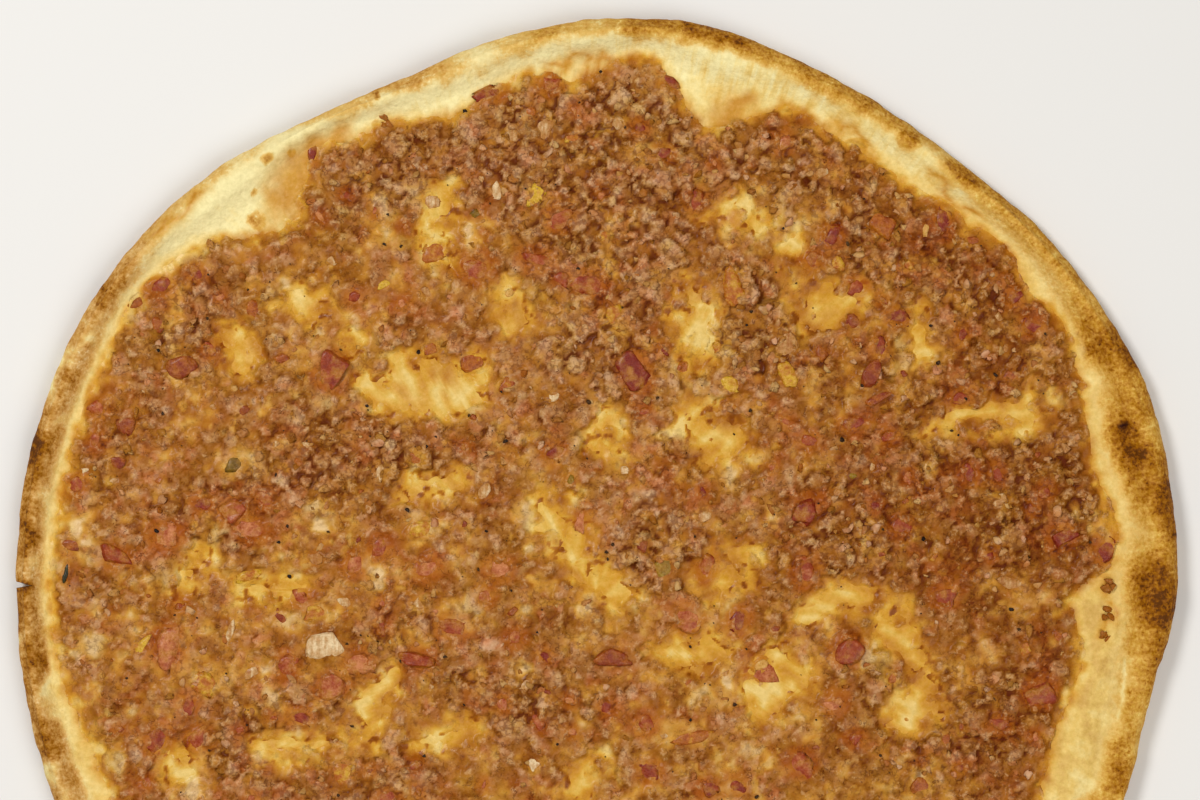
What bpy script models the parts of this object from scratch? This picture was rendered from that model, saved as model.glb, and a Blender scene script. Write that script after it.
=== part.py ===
"""A round flatbread baked with a thin topping of minced meat, tomato, pepper and onion.

The pie lies flat on its underside. +Z is up, +Y is the far side and the origin is the middle of
its footprint, on the surface that it rests on. Lengths in the tables are millimetres.
"""

import math
import random

import bmesh
import bpy
from mathutils import Matrix, Vector, noise
from mathutils.geometry import delaunay_2d_cdt

MM = 0.001

# Bread, seen from above: (direction in degrees, distance of the outer edge from the middle)
BREAD_EDGE = (
    (0, 139.9), (10, 141.1), (20, 142.3), (30, 141.0), (40, 139.4), (50, 137.3), (60, 137.7),
    (70, 139.2), (80, 141.1), (90, 140.0), (100, 137.3), (110, 134.1), (120, 134.9), (130, 138.1),
    (140, 140.2), (155, 141.5), (180, 139.8), (200, 139.2), (220, 138.4), (240, 139.0), (258, 137.2),
    (275, 138.6), (292, 139.4), (310, 136.8), (325, 137.8), (340, 136.1), (350, 135.8),
)
# Width of the raised rim, and how high its crown stands
RIM_WIDTH = (
    (0, 12.5), (8, 11.2), (20, 11.0), (28, 8.4), (34, 7.8), (42, 7.2), (50, 8.6), (60, 9.6), (68, 9.0),
    (75, 13.5), (79, 12.5), (85, 7.6), (91, 9.2), (98, 8.0), (105, 9.2), (112, 7.0), (121, 5.6),
    (127, 9.5), (133, 12.0), (140, 8.4), (147, 6.6), (155, 7.8), (165, 7.2), (180, 6.6), (200, 8.0),
    (230, 9.5), (260, 8.5), (290, 11.0), (315, 10.0), (340, 16.0), (350, 15.0),
)
CROWN_HEIGHT = (
    (0, 9.4), (30, 8.6), (60, 8.0), (85, 8.4), (115, 6.8), (135, 7.2), (160, 7.4), (185, 7.8),
    (215, 7.6), (250, 8.2), (285, 7.4), (315, 8.4), (345, 8.8),
)
FLOOR_THICKNESS = 3.4
BREAD_SECTORS = 132
BLISTER_HEIGHT = 0.55
BLISTER_SPACING = 7.0
RING_SHIFT = 0.4
# Outside of the loaf from its flat underside to the crown: (inward from the edge, height as a
# share of the crown's height)
OUTER_CURVE = ((4.6, 0.0), (2.2, 0.04), (0.7, 0.19), (0.0, 0.42), (0.4, 0.66), (1.7, 0.86))
# Inner slope: (share of the rim's width, share of the height from floor to crown)
INNER_CURVE = ((0.36, 1.0), (0.58, 0.86), (0.8, 0.45), (1.0, 0.14), (1.22, 0.0))
# Only the upper outside and the crown, counted along the profile, carry blisters
FIRST_BLISTERED, LAST_BLISTERED = 3, 8
BREAD_SHARP, TOPPING_SHARP, PIECE_SHARP = 50.0, 60.0, 40.0
# The crack through the rim on the left: direction, depth inward and width at the edge
CRACK = (178.5, 5.6, 1.3)

# Topping, seen from above: (direction in degrees, distance of its edge from the middle)
TOPPING_EDGE = (
    (-23, 116.0), (-17, 114.8), (-10, 118.0), (-5, 117.0), (-1, 113.2), (2, 117.0), (4.5, 124.5),
    (10, 126.5), (13, 124.3), (20, 125.3), (26, 129.0), (31, 131.5), (37, 127.0), (41, 130.3),
    (45, 127.0), (56, 125.0), (63, 124.6), (69, 128.0), (72.5, 120.0), (77, 116.6), (80, 121.0),
    (84, 131.0), (87, 130.0), (91, 124.8), (98, 127.0), (103, 124.6), (107, 121.0), (113, 125.2),
    (117, 123.4), (121.5, 130.5), (125, 121.5), (129, 116.3), (134, 121.0), (140, 129.4),
    (147, 132.4), (156, 131.2), (163, 130.6), (178, 131.6), (187, 130.0), (198, 125.0), (208, 127.5),
    (218, 121.5), (228, 127.0), (238, 128.5), (248, 122.5), (260, 127.5), (270, 121.0), (282, 126.5),
    (294, 125.0), (304, 119.0), (314, 125.0), (326, 122.0),
)
EDGE_WAVER = 1.3
EDGE_WAVER_SPACING = 5.0
EDGE_STEP = 3.6
EDGE_SAMPLES = 1440
RIM_CLEARANCE = 1.4
LAYER_GAP = 0.3
# Patches where the bread shows through the topping: (x, y, half length, half width, turn in degrees)
BARE_PATCHES = (
    (-38, 89, 9.2, 2.9, 100), (-70, 72, 6.7, 3.6, 10), (-59, 60, 6.3, 2.0, 80), (-87, 59, 5.3, 4.0, -50),
    (-42, 51, 14.5, 6.3, 5), (-21, 68, 6.3, 4.3, 110), (-40, 27, 7.7, 3.4, 15), (-10, 17, 8.7, 4.8, -60),
    (3, 3, 9.0, 3.6, -38), (23, 68, 9.2, 3.6, 105), (30, 39, 8.2, 4.6, -30), (4, 40, 4.8, 3.9, -60),
    (46, 83, 4.8, 3.4, 110), (56, 71, 7.7, 4.3, 15), (79, 63, 4.3, 2.6, 75), (94, 44, 13.5, 3.6, 10),
    (34, 8, 6.7, 3.1, 35), (57, -1, 8.7, 2.9, 20), (25, -12, 7.7, 3.1, 5), (43, -21, 7.7, 5.4, 45),
    (74, -9, 8.7, 4.3, -60), (78, -26, 6.8, 3.4, 60), (-36, -34, 7.2, 4.3, 15), (-3, -43, 4.4, 3.4, 90),
    (-52, -25, 8.6, 3.8, 60), (-72, -36, 9.0, 3.0, 10), (-98, 5, 5.8, 3.6, 40), (-77, 2, 8.7, 2.4, 5),
    (36, 93, 8.7, 2.2, 3), (-30, -62, 9.0, 4.4, 30), (22, -68, 10.0, 4.6, -20), (66, -58, 8.0, 4.6, 50),
    (-70, -66, 8.4, 4.0, -35), (-8, -94, 9.4, 4.4, 12), (44, -98, 7.2, 3.8, -50), (-46, -100, 7.0, 3.6, 65),
    (84, -76, 6.4, 3.4, 20), (-100, -40, 5.6, 3.2, 75),
)
PATCH_WAVER = 0.5
PATCH_WAVER_SPACING = 6.0
PATCH_STEP = 3.2
PATCH_FEWEST_POINTS = 9
PATCH_ROOM = 1.3
PATCH_REACH = 34.0
SMALLEST_PATCH = 0.5
PULL = 0.92

# Pieces as large as berries: (kind, x, y, length, width, turn in degrees)
LARGE_PIECES = (
    ("tomato", 9.6, 54.9, 10.6, 7.7, -60), ("tomato", -116.0, 10.1, 8.7, 4.6, -20),
    ("tomato", -63.4, 55.0, 9.6, 8.2, 70), ("tomato", -102.7, -11.5, 10.6, 7.2, -75),
    ("tomato", -87.0, 21.2, 8.2, 6.7, 20), ("tomato", -63.4, -20.7, 9.6, 6.7, 10),
    ("tomato", -43.0, -14.7, 8.7, 4.8, -10), ("tomato", 112.3, 14.9, 8.2, 4.8, 30),
    ("tomato", 51.1, 22.2, 7.7, 5.8, 60), ("tomato", 60.3, -12.4, 8.2, 7.0, 50),
    ("tomato", 107.4, -21.7, 9.2, 7.2, 20), ("tomato", -14.0, -80.0, 9.0, 7.0, 35),
    ("pepper", 4.0, -13.4, 9.8, 5.8, -4), ("pepper", 32.8, 76.2, 9.6, 7.2, -50),
    ("pepper", 65.6, 53.7, 8.7, 4.6, 55), ("pepper", 68.4, 90.1, 7.7, 6.3, -30),
    ("pepper", -100.2, 56.4, 8.2, 5.3, 30), ("pepper", 45.3, 54.5, 7.2, 4.8, -60),
    ("pepper", 40.0, -78.0, 8.4, 5.4, 25), ("onion", -65.6, -10.4, 9.2, 8.4, 5),
)
PIECE_POCKET = 0.4
PIECE_SIDES = 9
SQUARENESS = 3
PIECE_FULLNESS = 0.92
PIECE_WAVER = 0.1
PIECE_WAVER_SPACING = 3.1
PIECE_RISE = {"tomato": 0.5, "pepper": 0.4, "onion": 0.3}
PIECE_RISE_VARIES = 0.4
PIECE_RISE_SPACING = 34.0
# From the foot of a piece to its top: (growth of the outline, height from the foot for the first
# two rings, and from the top for the others)
PIECE_LEVELS = ((-0.5, 0.0), (0.0, 0.8), (0.0, -0.9), (-0.35, -0.3), (-1.1, 0.0))

# The minced meat's own relief
TOPPING_THICKNESS = 2.3
CLUMP_HEIGHT = 1.5
CLUMP_SPACING = 15.0
CRUMB_HEIGHT = 1.7
CRUMB_STEP = 5.2
CRUMB_JITTER = 0.9
CRUMB_SPACING = 4.4
POINT_ROOM = 0.42
EDGE_CALM = 0.35
EDGE_TAPER = 6.0
THINNEST_EDGE = 0.7

# Small dice of tomato, pepper and onion, pressed into the meat and joined with it
SMALL_DICE = 66
DICE_LENGTH = (3.4, 6.0)
DICE_WIDTH = (2.6, 4.2)
DICE_DEPTH = 1.7
DICE_SPACING = 10.5
DICE_EDGE_ROOM = 4.0
DICE_REACH = 122.0
DICE_UNEVEN = 0.4
DICE_LEAN = 0.16
DICE_SUNK = 0.25
DICE_CLEAR_BELOW = 0.8
SEED = 11

# Layers of the random relief, so that no two surfaces share theirs
RIM_RELIEF, CLUMP_RELIEF, CRUMB_RELIEF, PATCH_RELIEF, PIECE_RELIEF = 7.3, 8.3, 9.3, 10.3, 12.3

COLOURS = {
    "bread": (0.74, 0.45, 0.15), "meat_topping": (0.36, 0.16, 0.06), "tomato": (0.42, 0.08, 0.03),
    "pepper": (0.50, 0.16, 0.02), "onion": (0.74, 0.50, 0.24),
}
ROUGHNESS = {"bread": 0.75, "meat_topping": 0.5, "tomato": 0.35, "pepper": 0.35, "onion": 0.4}


def around(table, degrees):
    """Value of a closed table at a direction, on a smooth curve through its entries."""
    turns = [entry[0] for entry in table]
    values = [entry[1] for entry in table]
    count = len(table)
    degrees = (degrees - turns[0]) % 360 + turns[0]
    i = max(k for k in range(count) if turns[k] <= degrees)

    def knot(k):
        return turns[k % count] + 360 * (k // count), values[k % count]

    (t0, v0), (t1, v1), (t2, v2), (t3, v3) = (knot(i + k) for k in (-1, 0, 1, 2))
    slope1 = (v2 - v0) / (t2 - t0)
    slope2 = (v3 - v1) / (t3 - t1)
    span = t2 - t1
    u = (degrees - t1) / span
    return (
        (2 * u**3 - 3 * u**2 + 1) * v1 + (u**3 - 2 * u**2 + u) * span * slope1
        + (3 * u**2 - 2 * u**3) * v2 + (u**3 - u**2) * span * slope2
    )


def polar(degrees, radius, z=0.0):
    angle = math.radians(degrees)
    return Vector((radius * math.cos(angle), radius * math.sin(angle), z))


def footprint_middle():
    """Middle of the bread's bounding box in the tables' own coordinates."""
    directions = [360 * i / BREAD_SECTORS for i in range(BREAD_SECTORS)]
    rim = [polar(d, around(BREAD_EDGE, d)) for d in directions]
    xs = [p.x for p in rim]
    ys = [p.y for p in rim]
    return Vector(((min(xs) + max(xs)) / 2, (min(ys) + max(ys)) / 2, 0))


def speckle(x, y, spacing, layer):
    """Smooth random relief of a given spacing, from about -1 to 1."""
    return noise.noise(Vector((x / spacing, y / spacing, layer)))


def plain_material(name, slot):
    material = bpy.data.materials.new(name)
    material.use_nodes = True
    shader = material.node_tree.nodes["Principled BSDF"]
    shader.inputs["Base Color"].default_value = (*COLOURS[slot], 1)
    shader.inputs["Roughness"].default_value = ROUGHNESS[slot]
    shader.inputs["Metallic"].default_value = 0.0
    material.diffuse_color = (*COLOURS[slot], 1)
    return material


def add_object(name, bm, material, middle):
    """Turns a bmesh in table millimetres into an object in metres about the footprint's middle."""
    bmesh.ops.transform(bm, matrix=Matrix.Scale(MM, 4) @ Matrix.Translation(-middle), verts=bm.verts)
    mesh = bpy.data.meshes.new(name)
    bm.to_mesh(mesh)
    bm.free()
    mesh.materials.append(material)
    obj = bpy.data.objects.new(name, mesh)
    bpy.context.scene.collection.objects.link(obj)
    return obj


def bread_profile(degrees):
    """(radius, height) from the middle of the underside, round the rim, to the floor."""
    edge = around(BREAD_EDGE, degrees)
    width = around(RIM_WIDTH, degrees)
    crown = around(CROWN_HEIGHT, degrees)
    points = [(edge - inward, share * crown) for inward, share in OUTER_CURVE]
    rise = crown - FLOOR_THICKNESS
    points += [(edge - share * width, FLOOR_THICKNESS + up * rise) for share, up in INNER_CURVE]
    return points


def make_bread(material, middle):
    bm = bmesh.new()
    rings = []
    for i in range(BREAD_SECTORS):
        degrees = 360 * i / BREAD_SECTORS
        ring = []
        for k, (radius, z) in enumerate(bread_profile(degrees)):
            point = polar(degrees, radius, z)
            if FIRST_BLISTERED <= k <= LAST_BLISTERED:
                layer = RIM_RELIEF + RING_SHIFT * k
                point.z += BLISTER_HEIGHT * speckle(point.x, point.y, BLISTER_SPACING, layer)
            ring.append(bm.verts.new(point))
        rings.append(ring)
    for i, ring in enumerate(rings):
        following = rings[(i + 1) % BREAD_SECTORS]
        for k in range(len(ring) - 1):
            bm.faces.new((ring[k], following[k], following[k + 1], ring[k + 1]))
    bm.faces.new([ring[0] for ring in reversed(rings)])
    bm.faces.new([ring[-1] for ring in rings])
    bmesh.ops.recalc_face_normals(bm, faces=bm.faces)
    bread = add_object("bread", bm, material, middle)
    bread.data.shade_smooth()
    bread.data.set_sharp_from_angle(angle=math.radians(BREAD_SHARP))
    cut_crack(bread, middle)
    return bread


def cut_crack(bread, middle):
    """The rim's crack is a thin upright wedge taken out of the edge."""
    direction, depth, width = CRACK
    edge = around(BREAD_EDGE, direction)
    outside, below_bread, above_bread = 3.0, -2.0, 14.0
    flare = math.degrees(width / edge) * (depth + outside) / depth / 2
    corners = [
        polar(direction, edge - depth),
        polar(direction - flare, edge + outside),
        polar(direction + flare, edge + outside),
    ]
    bm = bmesh.new()
    below = [bm.verts.new(p + Vector((0, 0, below_bread))) for p in corners]
    above = [bm.verts.new(p + Vector((0, 0, above_bread))) for p in corners]
    bm.faces.new(reversed(below))
    bm.faces.new(above)
    for i in range(3):
        j = (i + 1) % 3
        bm.faces.new((below[i], below[j], above[j], above[i]))
    bmesh.ops.recalc_face_normals(bm, faces=bm.faces)
    cutter = add_object("crack_cutter", bm, bread.data.materials[0], middle)
    cutter.hide_render = True
    cutter.display_type = "WIRE"
    cut = bread.modifiers.new("crack", "BOOLEAN")
    cut.operation = "DIFFERENCE"
    cut.object = cutter


def rim_foot(degrees):
    """Distance from the middle at which the floor meets the rim's slope."""
    return around(BREAD_EDGE, degrees) - INNER_CURVE[-1][0] * around(RIM_WIDTH, degrees)


def topping_radius(degrees):
    wanted = around(TOPPING_EDGE, degrees)
    at = polar(degrees, wanted)
    wanted += EDGE_WAVER * speckle(at.x, at.y, EDGE_WAVER_SPACING, RIM_RELIEF)
    return min(wanted, rim_foot(degrees) - RIM_CLEARANCE)


def topping_outline():
    """Outer edge of the topping as a closed list of points, a step apart."""
    directions = [360 * i / EDGE_SAMPLES for i in range(EDGE_SAMPLES)]
    fine = [polar(d, topping_radius(d)).xy for d in directions]
    points = [fine[0]]
    for p in fine:
        if (p - points[-1]).length >= EDGE_STEP:
            points.append(p)
    if (points[-1] - points[0]).length < EDGE_STEP / 2:
        points.pop()
    return points


def patch_outline(x, y, half_length, half_width, turn):
    """Wavering oval round a bare patch."""
    around_it = math.pi * (half_length + half_width)
    count = max(PATCH_FEWEST_POINTS, round(around_it / PATCH_STEP))
    rotation = Matrix.Rotation(math.radians(turn), 2)
    points = []
    for i in range(count):
        a = math.tau * i / count
        on_circle = Vector((x, y)) + half_length * Vector((math.cos(a), math.sin(a)))
        stretch = 1 + PATCH_WAVER * speckle(*on_circle, PATCH_WAVER_SPACING, PATCH_RELIEF)
        local = Vector((half_length * math.cos(a), half_width * math.sin(a))) * stretch
        points.append(Vector((x, y)) + rotation @ local)
    return points


def piece_outline(x, y, length, width, turn, grow=0.0):
    """Rounded, uneven block outline, grown outward for the pocket round it."""
    rotation = Matrix.Rotation(math.radians(turn), 2)
    points = []
    for i in range(PIECE_SIDES):
        a = math.tau * i / PIECE_SIDES
        square = (abs(math.cos(a)) ** SQUARENESS + abs(math.sin(a)) ** SQUARENESS) ** (-1 / SQUARENESS)
        on_circle = Vector((x, y)) + length / 2 * Vector((math.cos(a), math.sin(a)))
        uneven = PIECE_FULLNESS + PIECE_WAVER * speckle(*on_circle, PIECE_WAVER_SPACING, PIECE_RELIEF)
        local = Vector((
            (length / 2 * square * uneven + grow) * math.cos(a),
            (width / 2 * square * uneven + grow) * math.sin(a),
        ))
        points.append(Vector((x, y)) + rotation @ local)
    return points


def inside(point, outline):
    crossing = False
    for i, a in enumerate(outline):
        b = outline[i - 1]
        if (a.y > point.y) != (b.y > point.y):
            if point.x < (b.x - a.x) * (point.y - a.y) / (b.y - a.y) + a.x:
                crossing = not crossing
    return crossing


def distance_to(point, outline):
    nearest = 1e9
    for i, a in enumerate(outline):
        b = outline[i - 1]
        along = b - a
        share = max(0.0, min(1.0, (point - a).dot(along) / max(along.length_squared, 1e-9)))
        nearest = min(nearest, (point - a - along * share).length)
    return nearest


def topping_height(point, edge_distance):
    """Top of the meat above the table, lower towards the topping's edges."""
    clumps = CLUMP_HEIGHT * speckle(point.x, point.y, CLUMP_SPACING, CLUMP_RELIEF)
    crumbs = CRUMB_HEIGHT * speckle(point.x, point.y, CRUMB_SPACING, CRUMB_RELIEF)
    share = min(1.0, edge_distance / EDGE_TAPER)
    relief = (clumps + crumbs) * (EDGE_CALM + (1 - EDGE_CALM) * share)
    thickness = TOPPING_THICKNESS * math.sqrt(share) + relief
    return FLOOR_THICKNESS + LAYER_GAP + max(THINNEST_EDGE, thickness)


def loop_edges(start, count):
    return [(start + i, start + (i + 1) % count) for i in range(count)]


def flat_triangles(loops, inner_points):
    """Triangulates the region inside the first loop and outside the others."""
    points = []
    edges = []
    for loop in loops:
        edges += loop_edges(len(points), len(loop))
        points += loop
    points += inner_points
    verts, _, faces, _, _, _ = delaunay_2d_cdt(points, edges, [], 1, 1e-6)
    kept = []
    for face in faces:
        centre = sum((verts[i] for i in face), Vector((0, 0))) / 3
        if not any(inside(centre, hole) for hole in loops[1:]):
            kept.append(face)
    return verts, kept


def pulled_clear(outline, middle, edge, others):
    """Draws an outline's points in towards its middle until they clear the edge and the others."""
    points = []
    for p in outline:
        while (p - middle).length > SMALLEST_PATCH and (
            not inside(p, edge)
            or distance_to(p, edge) < PATCH_ROOM
            or any(inside(p, o) or distance_to(p, o) < PATCH_ROOM for o in others)
        ):
            p = middle + (p - middle) * PULL
        points.append(p)
    return points


def topping_loops():
    """The topping's outer edge, then its holes: a pocket round each large piece, and the bare patches."""
    edge = topping_outline()
    holes = [piece_outline(*piece[1:], grow=PIECE_POCKET) for piece in LARGE_PIECES]
    for patch in BARE_PATCHES:
        near = [h for h in holes if (h[0] - Vector(patch[:2])).length < PATCH_REACH]
        holes.append(pulled_clear(patch_outline(*patch), Vector(patch[:2]), edge, near))
    return [edge, *holes]


def scattered_points(loops):
    """Jittered hexagonal grid over the topping, clear of its edges."""
    draw = random.Random(SEED)
    points = []
    row_step = CRUMB_STEP * math.sqrt(3) / 2
    reach = max(radius for _, radius in TOPPING_EDGE)
    rows = int(reach / row_step)
    columns = int(reach / CRUMB_STEP) + 1
    for row in range(-rows, rows + 1):
        for column in range(-columns, columns + 1):
            x = (column + 0.5 * (row % 2)) * CRUMB_STEP + draw.uniform(-CRUMB_JITTER, CRUMB_JITTER)
            y = row * row_step + draw.uniform(-CRUMB_JITTER, CRUMB_JITTER)
            p = Vector((x, y))
            if not inside(p, loops[0]) or any(inside(p, hole) for hole in loops[1:]):
                continue
            if min(distance_to(p, loop) for loop in loops) > POINT_ROOM * CRUMB_STEP:
                points.append(p)
    return points


def make_topping(loops, material, middle):
    """The meat layer: a lumpy top, a flat underside just clear of the bread, and side walls."""
    bm = bmesh.new()
    verts, faces = flat_triangles(loops, scattered_points(loops))
    top = []
    for v in verts:
        edge_distance = min(distance_to(v, loop) for loop in loops)
        top.append(bm.verts.new((v.x, v.y, topping_height(v, edge_distance))))
    for face in faces:
        bm.faces.new([top[i] for i in face])
    rim_loops = [e for e in bm.edges if e.is_boundary]
    below = {}
    for edge in rim_loops:
        for v in edge.verts:
            if v not in below:
                below[v] = bm.verts.new((v.co.x, v.co.y, FLOOR_THICKNESS + LAYER_GAP))
    for edge in rim_loops:
        a, b = edge.verts
        bm.faces.new((a, b, below[b], below[a]))
    under, under_faces = flat_triangles(loops, [])
    nearest = {(round(v.co.x, 3), round(v.co.y, 3)): v for v in below.values()}
    bottom = [nearest[(round(v.x, 3), round(v.y, 3))] for v in under]
    for face in under_faces:
        bm.faces.new([bottom[i] for i in reversed(face)])
    bmesh.ops.recalc_face_normals(bm, faces=bm.faces)
    topping = add_object("meat_topping", bm, material, middle)
    topping.data.shade_smooth()
    topping.data.set_sharp_from_angle(angle=math.radians(TOPPING_SHARP))
    return topping


def add_small_dice(topping, loops, material, middle):
    """Presses dice into the meat, largest first and evenly spread, and joins them with it."""
    draw = random.Random(SEED + 1)
    dice = bpy.data.collections.new("small_dice")
    bpy.context.scene.collection.children.link(dice)
    lowest = FLOOR_THICKNESS + LAYER_GAP + DICE_DEPTH / 2 + DICE_CLEAR_BELOW
    places = []
    while len(places) < SMALL_DICE:
        p = polar(draw.uniform(0, 360), DICE_REACH * math.sqrt(draw.random())).xy
        if not inside(p, loops[0]) or any(inside(p, hole) for hole in loops[1:]):
            continue
        if any((p - q).length < DICE_SPACING for q in places):
            continue
        if min(distance_to(p, loop) for loop in loops) > DICE_EDGE_ROOM:
            places.append(p)
    for i, p in enumerate(places):
        larger = 1 - i / SMALL_DICE
        length = DICE_LENGTH[0] + (DICE_LENGTH[1] - DICE_LENGTH[0]) * larger
        width = draw.uniform(*DICE_WIDTH)
        edge_distance = min(distance_to(p, loop) for loop in loops)
        height = topping_height(p, edge_distance)
        bm = bmesh.new()
        bmesh.ops.create_cube(bm, size=1.0)
        bmesh.ops.scale(bm, vec=(length, width, DICE_DEPTH), verts=bm.verts)
        for v in bm.verts:
            v.co += Vector([draw.uniform(-DICE_UNEVEN, DICE_UNEVEN) for _ in "xyz"])
        lean = Matrix.Rotation(draw.uniform(-DICE_LEAN, DICE_LEAN), 4, "X")
        turn = Matrix.Rotation(draw.uniform(0, math.tau), 4, "Z")
        place = Matrix.Translation((p.x, p.y, max(lowest, height - DICE_SUNK * DICE_DEPTH)))
        bmesh.ops.transform(bm, matrix=place @ turn @ lean, verts=bm.verts)
        die = add_object(f"small_die_{i}", bm, material, middle)
        bpy.context.scene.collection.objects.unlink(die)
        dice.objects.link(die)
    join = topping.modifiers.new("dice", "BOOLEAN")
    join.operation = "UNION"
    join.operand_type = "COLLECTION"
    join.collection = dice
    graph = bpy.context.evaluated_depsgraph_get()
    joined = bpy.data.meshes.new_from_object(topping.evaluated_get(graph))
    topping.modifiers.clear()
    topping.data = joined
    for die in list(dice.objects):
        bpy.data.objects.remove(die)
    bpy.data.collections.remove(dice)


def make_piece(name, kind, x, y, length, width, turn, material, middle):
    """One large piece: a block with a rounded top, standing in its pocket in the meat."""
    bottom = FLOOR_THICKNESS + LAYER_GAP
    height = TOPPING_THICKNESS + PIECE_RISE[kind]
    height += PIECE_RISE_VARIES * speckle(x, y, PIECE_RISE_SPACING, PIECE_RELIEF)
    bm = bmesh.new()
    rings = []
    for k, (grow, step) in enumerate(PIECE_LEVELS):
        z = bottom + (step if k < 2 else height + step)
        rings.append([bm.verts.new((p.x, p.y, z)) for p in piece_outline(x, y, length, width, turn, grow)])
    for low, high in zip(rings, rings[1:]):
        for i in range(PIECE_SIDES):
            j = (i + 1) % PIECE_SIDES
            bm.faces.new((low[i], low[j], high[j], high[i]))
    bm.faces.new(list(reversed(rings[0])))
    bm.faces.new(rings[-1])
    bmesh.ops.recalc_face_normals(bm, faces=bm.faces)
    piece = add_object(name, bm, material, middle)
    piece.data.shade_smooth()
    piece.data.set_sharp_from_angle(angle=math.radians(PIECE_SHARP))
    return piece


def clear_scene():
    for obj in list(bpy.data.objects):
        bpy.data.objects.remove(obj)


def main():
    clear_scene()
    middle = footprint_middle()
    loops = topping_loops()
    make_bread(plain_material("baked_bread", "bread"), middle)
    meat = plain_material("minced_meat", "meat_topping")
    topping = make_topping(loops, meat, middle)
    add_small_dice(topping, loops, meat, middle)
    finishes = {kind: plain_material(f"{kind}_flesh", kind) for kind in PIECE_RISE}
    counts = dict.fromkeys(PIECE_RISE, 0)
    for kind, x, y, length, width, turn in LARGE_PIECES:
        counts[kind] += 1
        make_piece(f"{kind}_{counts[kind]:02d}", kind, x, y, length, width, turn, finishes[kind], middle)


main()
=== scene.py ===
import itertools
import math

import bpy
import numpy as np
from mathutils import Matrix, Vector


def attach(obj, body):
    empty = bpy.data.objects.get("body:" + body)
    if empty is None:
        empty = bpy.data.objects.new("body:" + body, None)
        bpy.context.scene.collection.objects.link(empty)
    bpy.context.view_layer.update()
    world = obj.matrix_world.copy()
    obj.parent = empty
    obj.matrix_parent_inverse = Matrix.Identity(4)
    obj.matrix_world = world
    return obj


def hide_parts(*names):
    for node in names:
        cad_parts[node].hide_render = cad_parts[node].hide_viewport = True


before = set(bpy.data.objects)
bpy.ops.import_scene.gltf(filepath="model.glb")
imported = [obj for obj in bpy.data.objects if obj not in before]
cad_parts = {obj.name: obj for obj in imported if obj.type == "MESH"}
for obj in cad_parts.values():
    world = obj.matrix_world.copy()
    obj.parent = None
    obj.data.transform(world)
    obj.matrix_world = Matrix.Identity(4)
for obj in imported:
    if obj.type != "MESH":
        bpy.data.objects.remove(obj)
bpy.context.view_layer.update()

# The finish of a round flatbread baked under minced meat with tomato, pepper and onion. The tables
# are in millimetres about the middle that the photograph was measured from, with +X to its right
# and +Y to its top. Every mesh is worked out there and set into the frame, in metres, at the end.
MM = 0.001

# Outline and rim of the bread, as in the part's source: (direction in degrees, distance or size)
BREAD_EDGE = (
    (0, 139.9), (10, 141.1), (20, 142.3), (30, 141.0), (40, 139.4), (50, 137.3), (60, 137.7),
    (70, 139.2), (80, 141.1), (90, 140.0), (100, 137.3), (110, 134.1), (120, 134.9), (130, 138.1),
    (140, 140.2), (155, 141.5), (180, 139.8), (200, 139.2), (220, 138.4), (240, 139.0), (258, 137.2),
    (275, 138.6), (292, 139.4), (310, 136.8), (325, 137.8), (340, 136.1), (350, 135.8),
)
RIM_WIDTH = (
    (0, 12.5), (8, 11.2), (20, 11.0), (28, 8.4), (34, 7.8), (42, 7.2), (50, 8.6), (60, 9.6), (68, 9.0),
    (75, 13.5), (79, 12.5), (85, 7.6), (91, 9.2), (98, 8.0), (105, 9.2), (112, 7.0), (121, 5.6),
    (127, 9.5), (133, 12.0), (140, 8.4), (147, 6.6), (155, 7.8), (165, 7.2), (180, 6.6), (200, 8.0),
    (230, 9.5), (260, 8.5), (290, 11.0), (315, 10.0), (340, 16.0), (350, 15.0),
)
CROWN_HEIGHT = (
    (0, 9.4), (30, 8.6), (60, 8.0), (85, 8.4), (115, 6.8), (135, 7.2), (160, 7.4), (185, 7.8),
    (215, 7.6), (250, 8.2), (285, 7.4), (315, 8.4), (345, 8.8),
)
FLOOR_THICKNESS = 3.4
LAYER_GAP = 0.3
# Section of the rim. Outside: (distance in from the edge, share of the crown's height). Inside:
# (share of the rim's width in from the edge, share of the rise from the floor to the crown)
OUTER_CURVE = ((4.6, 0.0), (2.2, 0.04), (0.7, 0.19), (0.0, 0.42), (0.4, 0.66), (1.7, 0.86))
INNER_CURVE = ((0.36, 1.0), (0.58, 0.86), (0.8, 0.45), (1.0, 0.14), (1.22, 0.0))
# Crack at the left edge, a little shorter and wider than the part's: (direction, depth, width)
CRACK = (178.5, 4.6, 1.6)

# Browning of the rim: (direction, width of the browned band, strength from 0 to 1)
BROWNING = (
    (0, 13.5, 0.64), (12, 12.5, 0.62), (25, 11.5, 0.60), (40, 8.4, 0.45), (55, 5.6, 0.33), (70, 5.6, 0.40),
    (85, 6.2, 0.46), (100, 5.8, 0.38), (112, 4.4, 0.26), (125, 4.0, 0.20), (138, 5.0, 0.28),
    (150, 8.6, 0.46), (165, 10.4, 0.58), (180, 11.0, 0.60), (195, 10.4, 0.54), (212, 10.0, 0.48),
    (235, 8.0, 0.54), (260, 7.0, 0.62), (285, 8.0, 0.50), (310, 8.5, 0.64), (335, 10.0, 0.70),
    (350, 9.0, 0.70),
)
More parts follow.
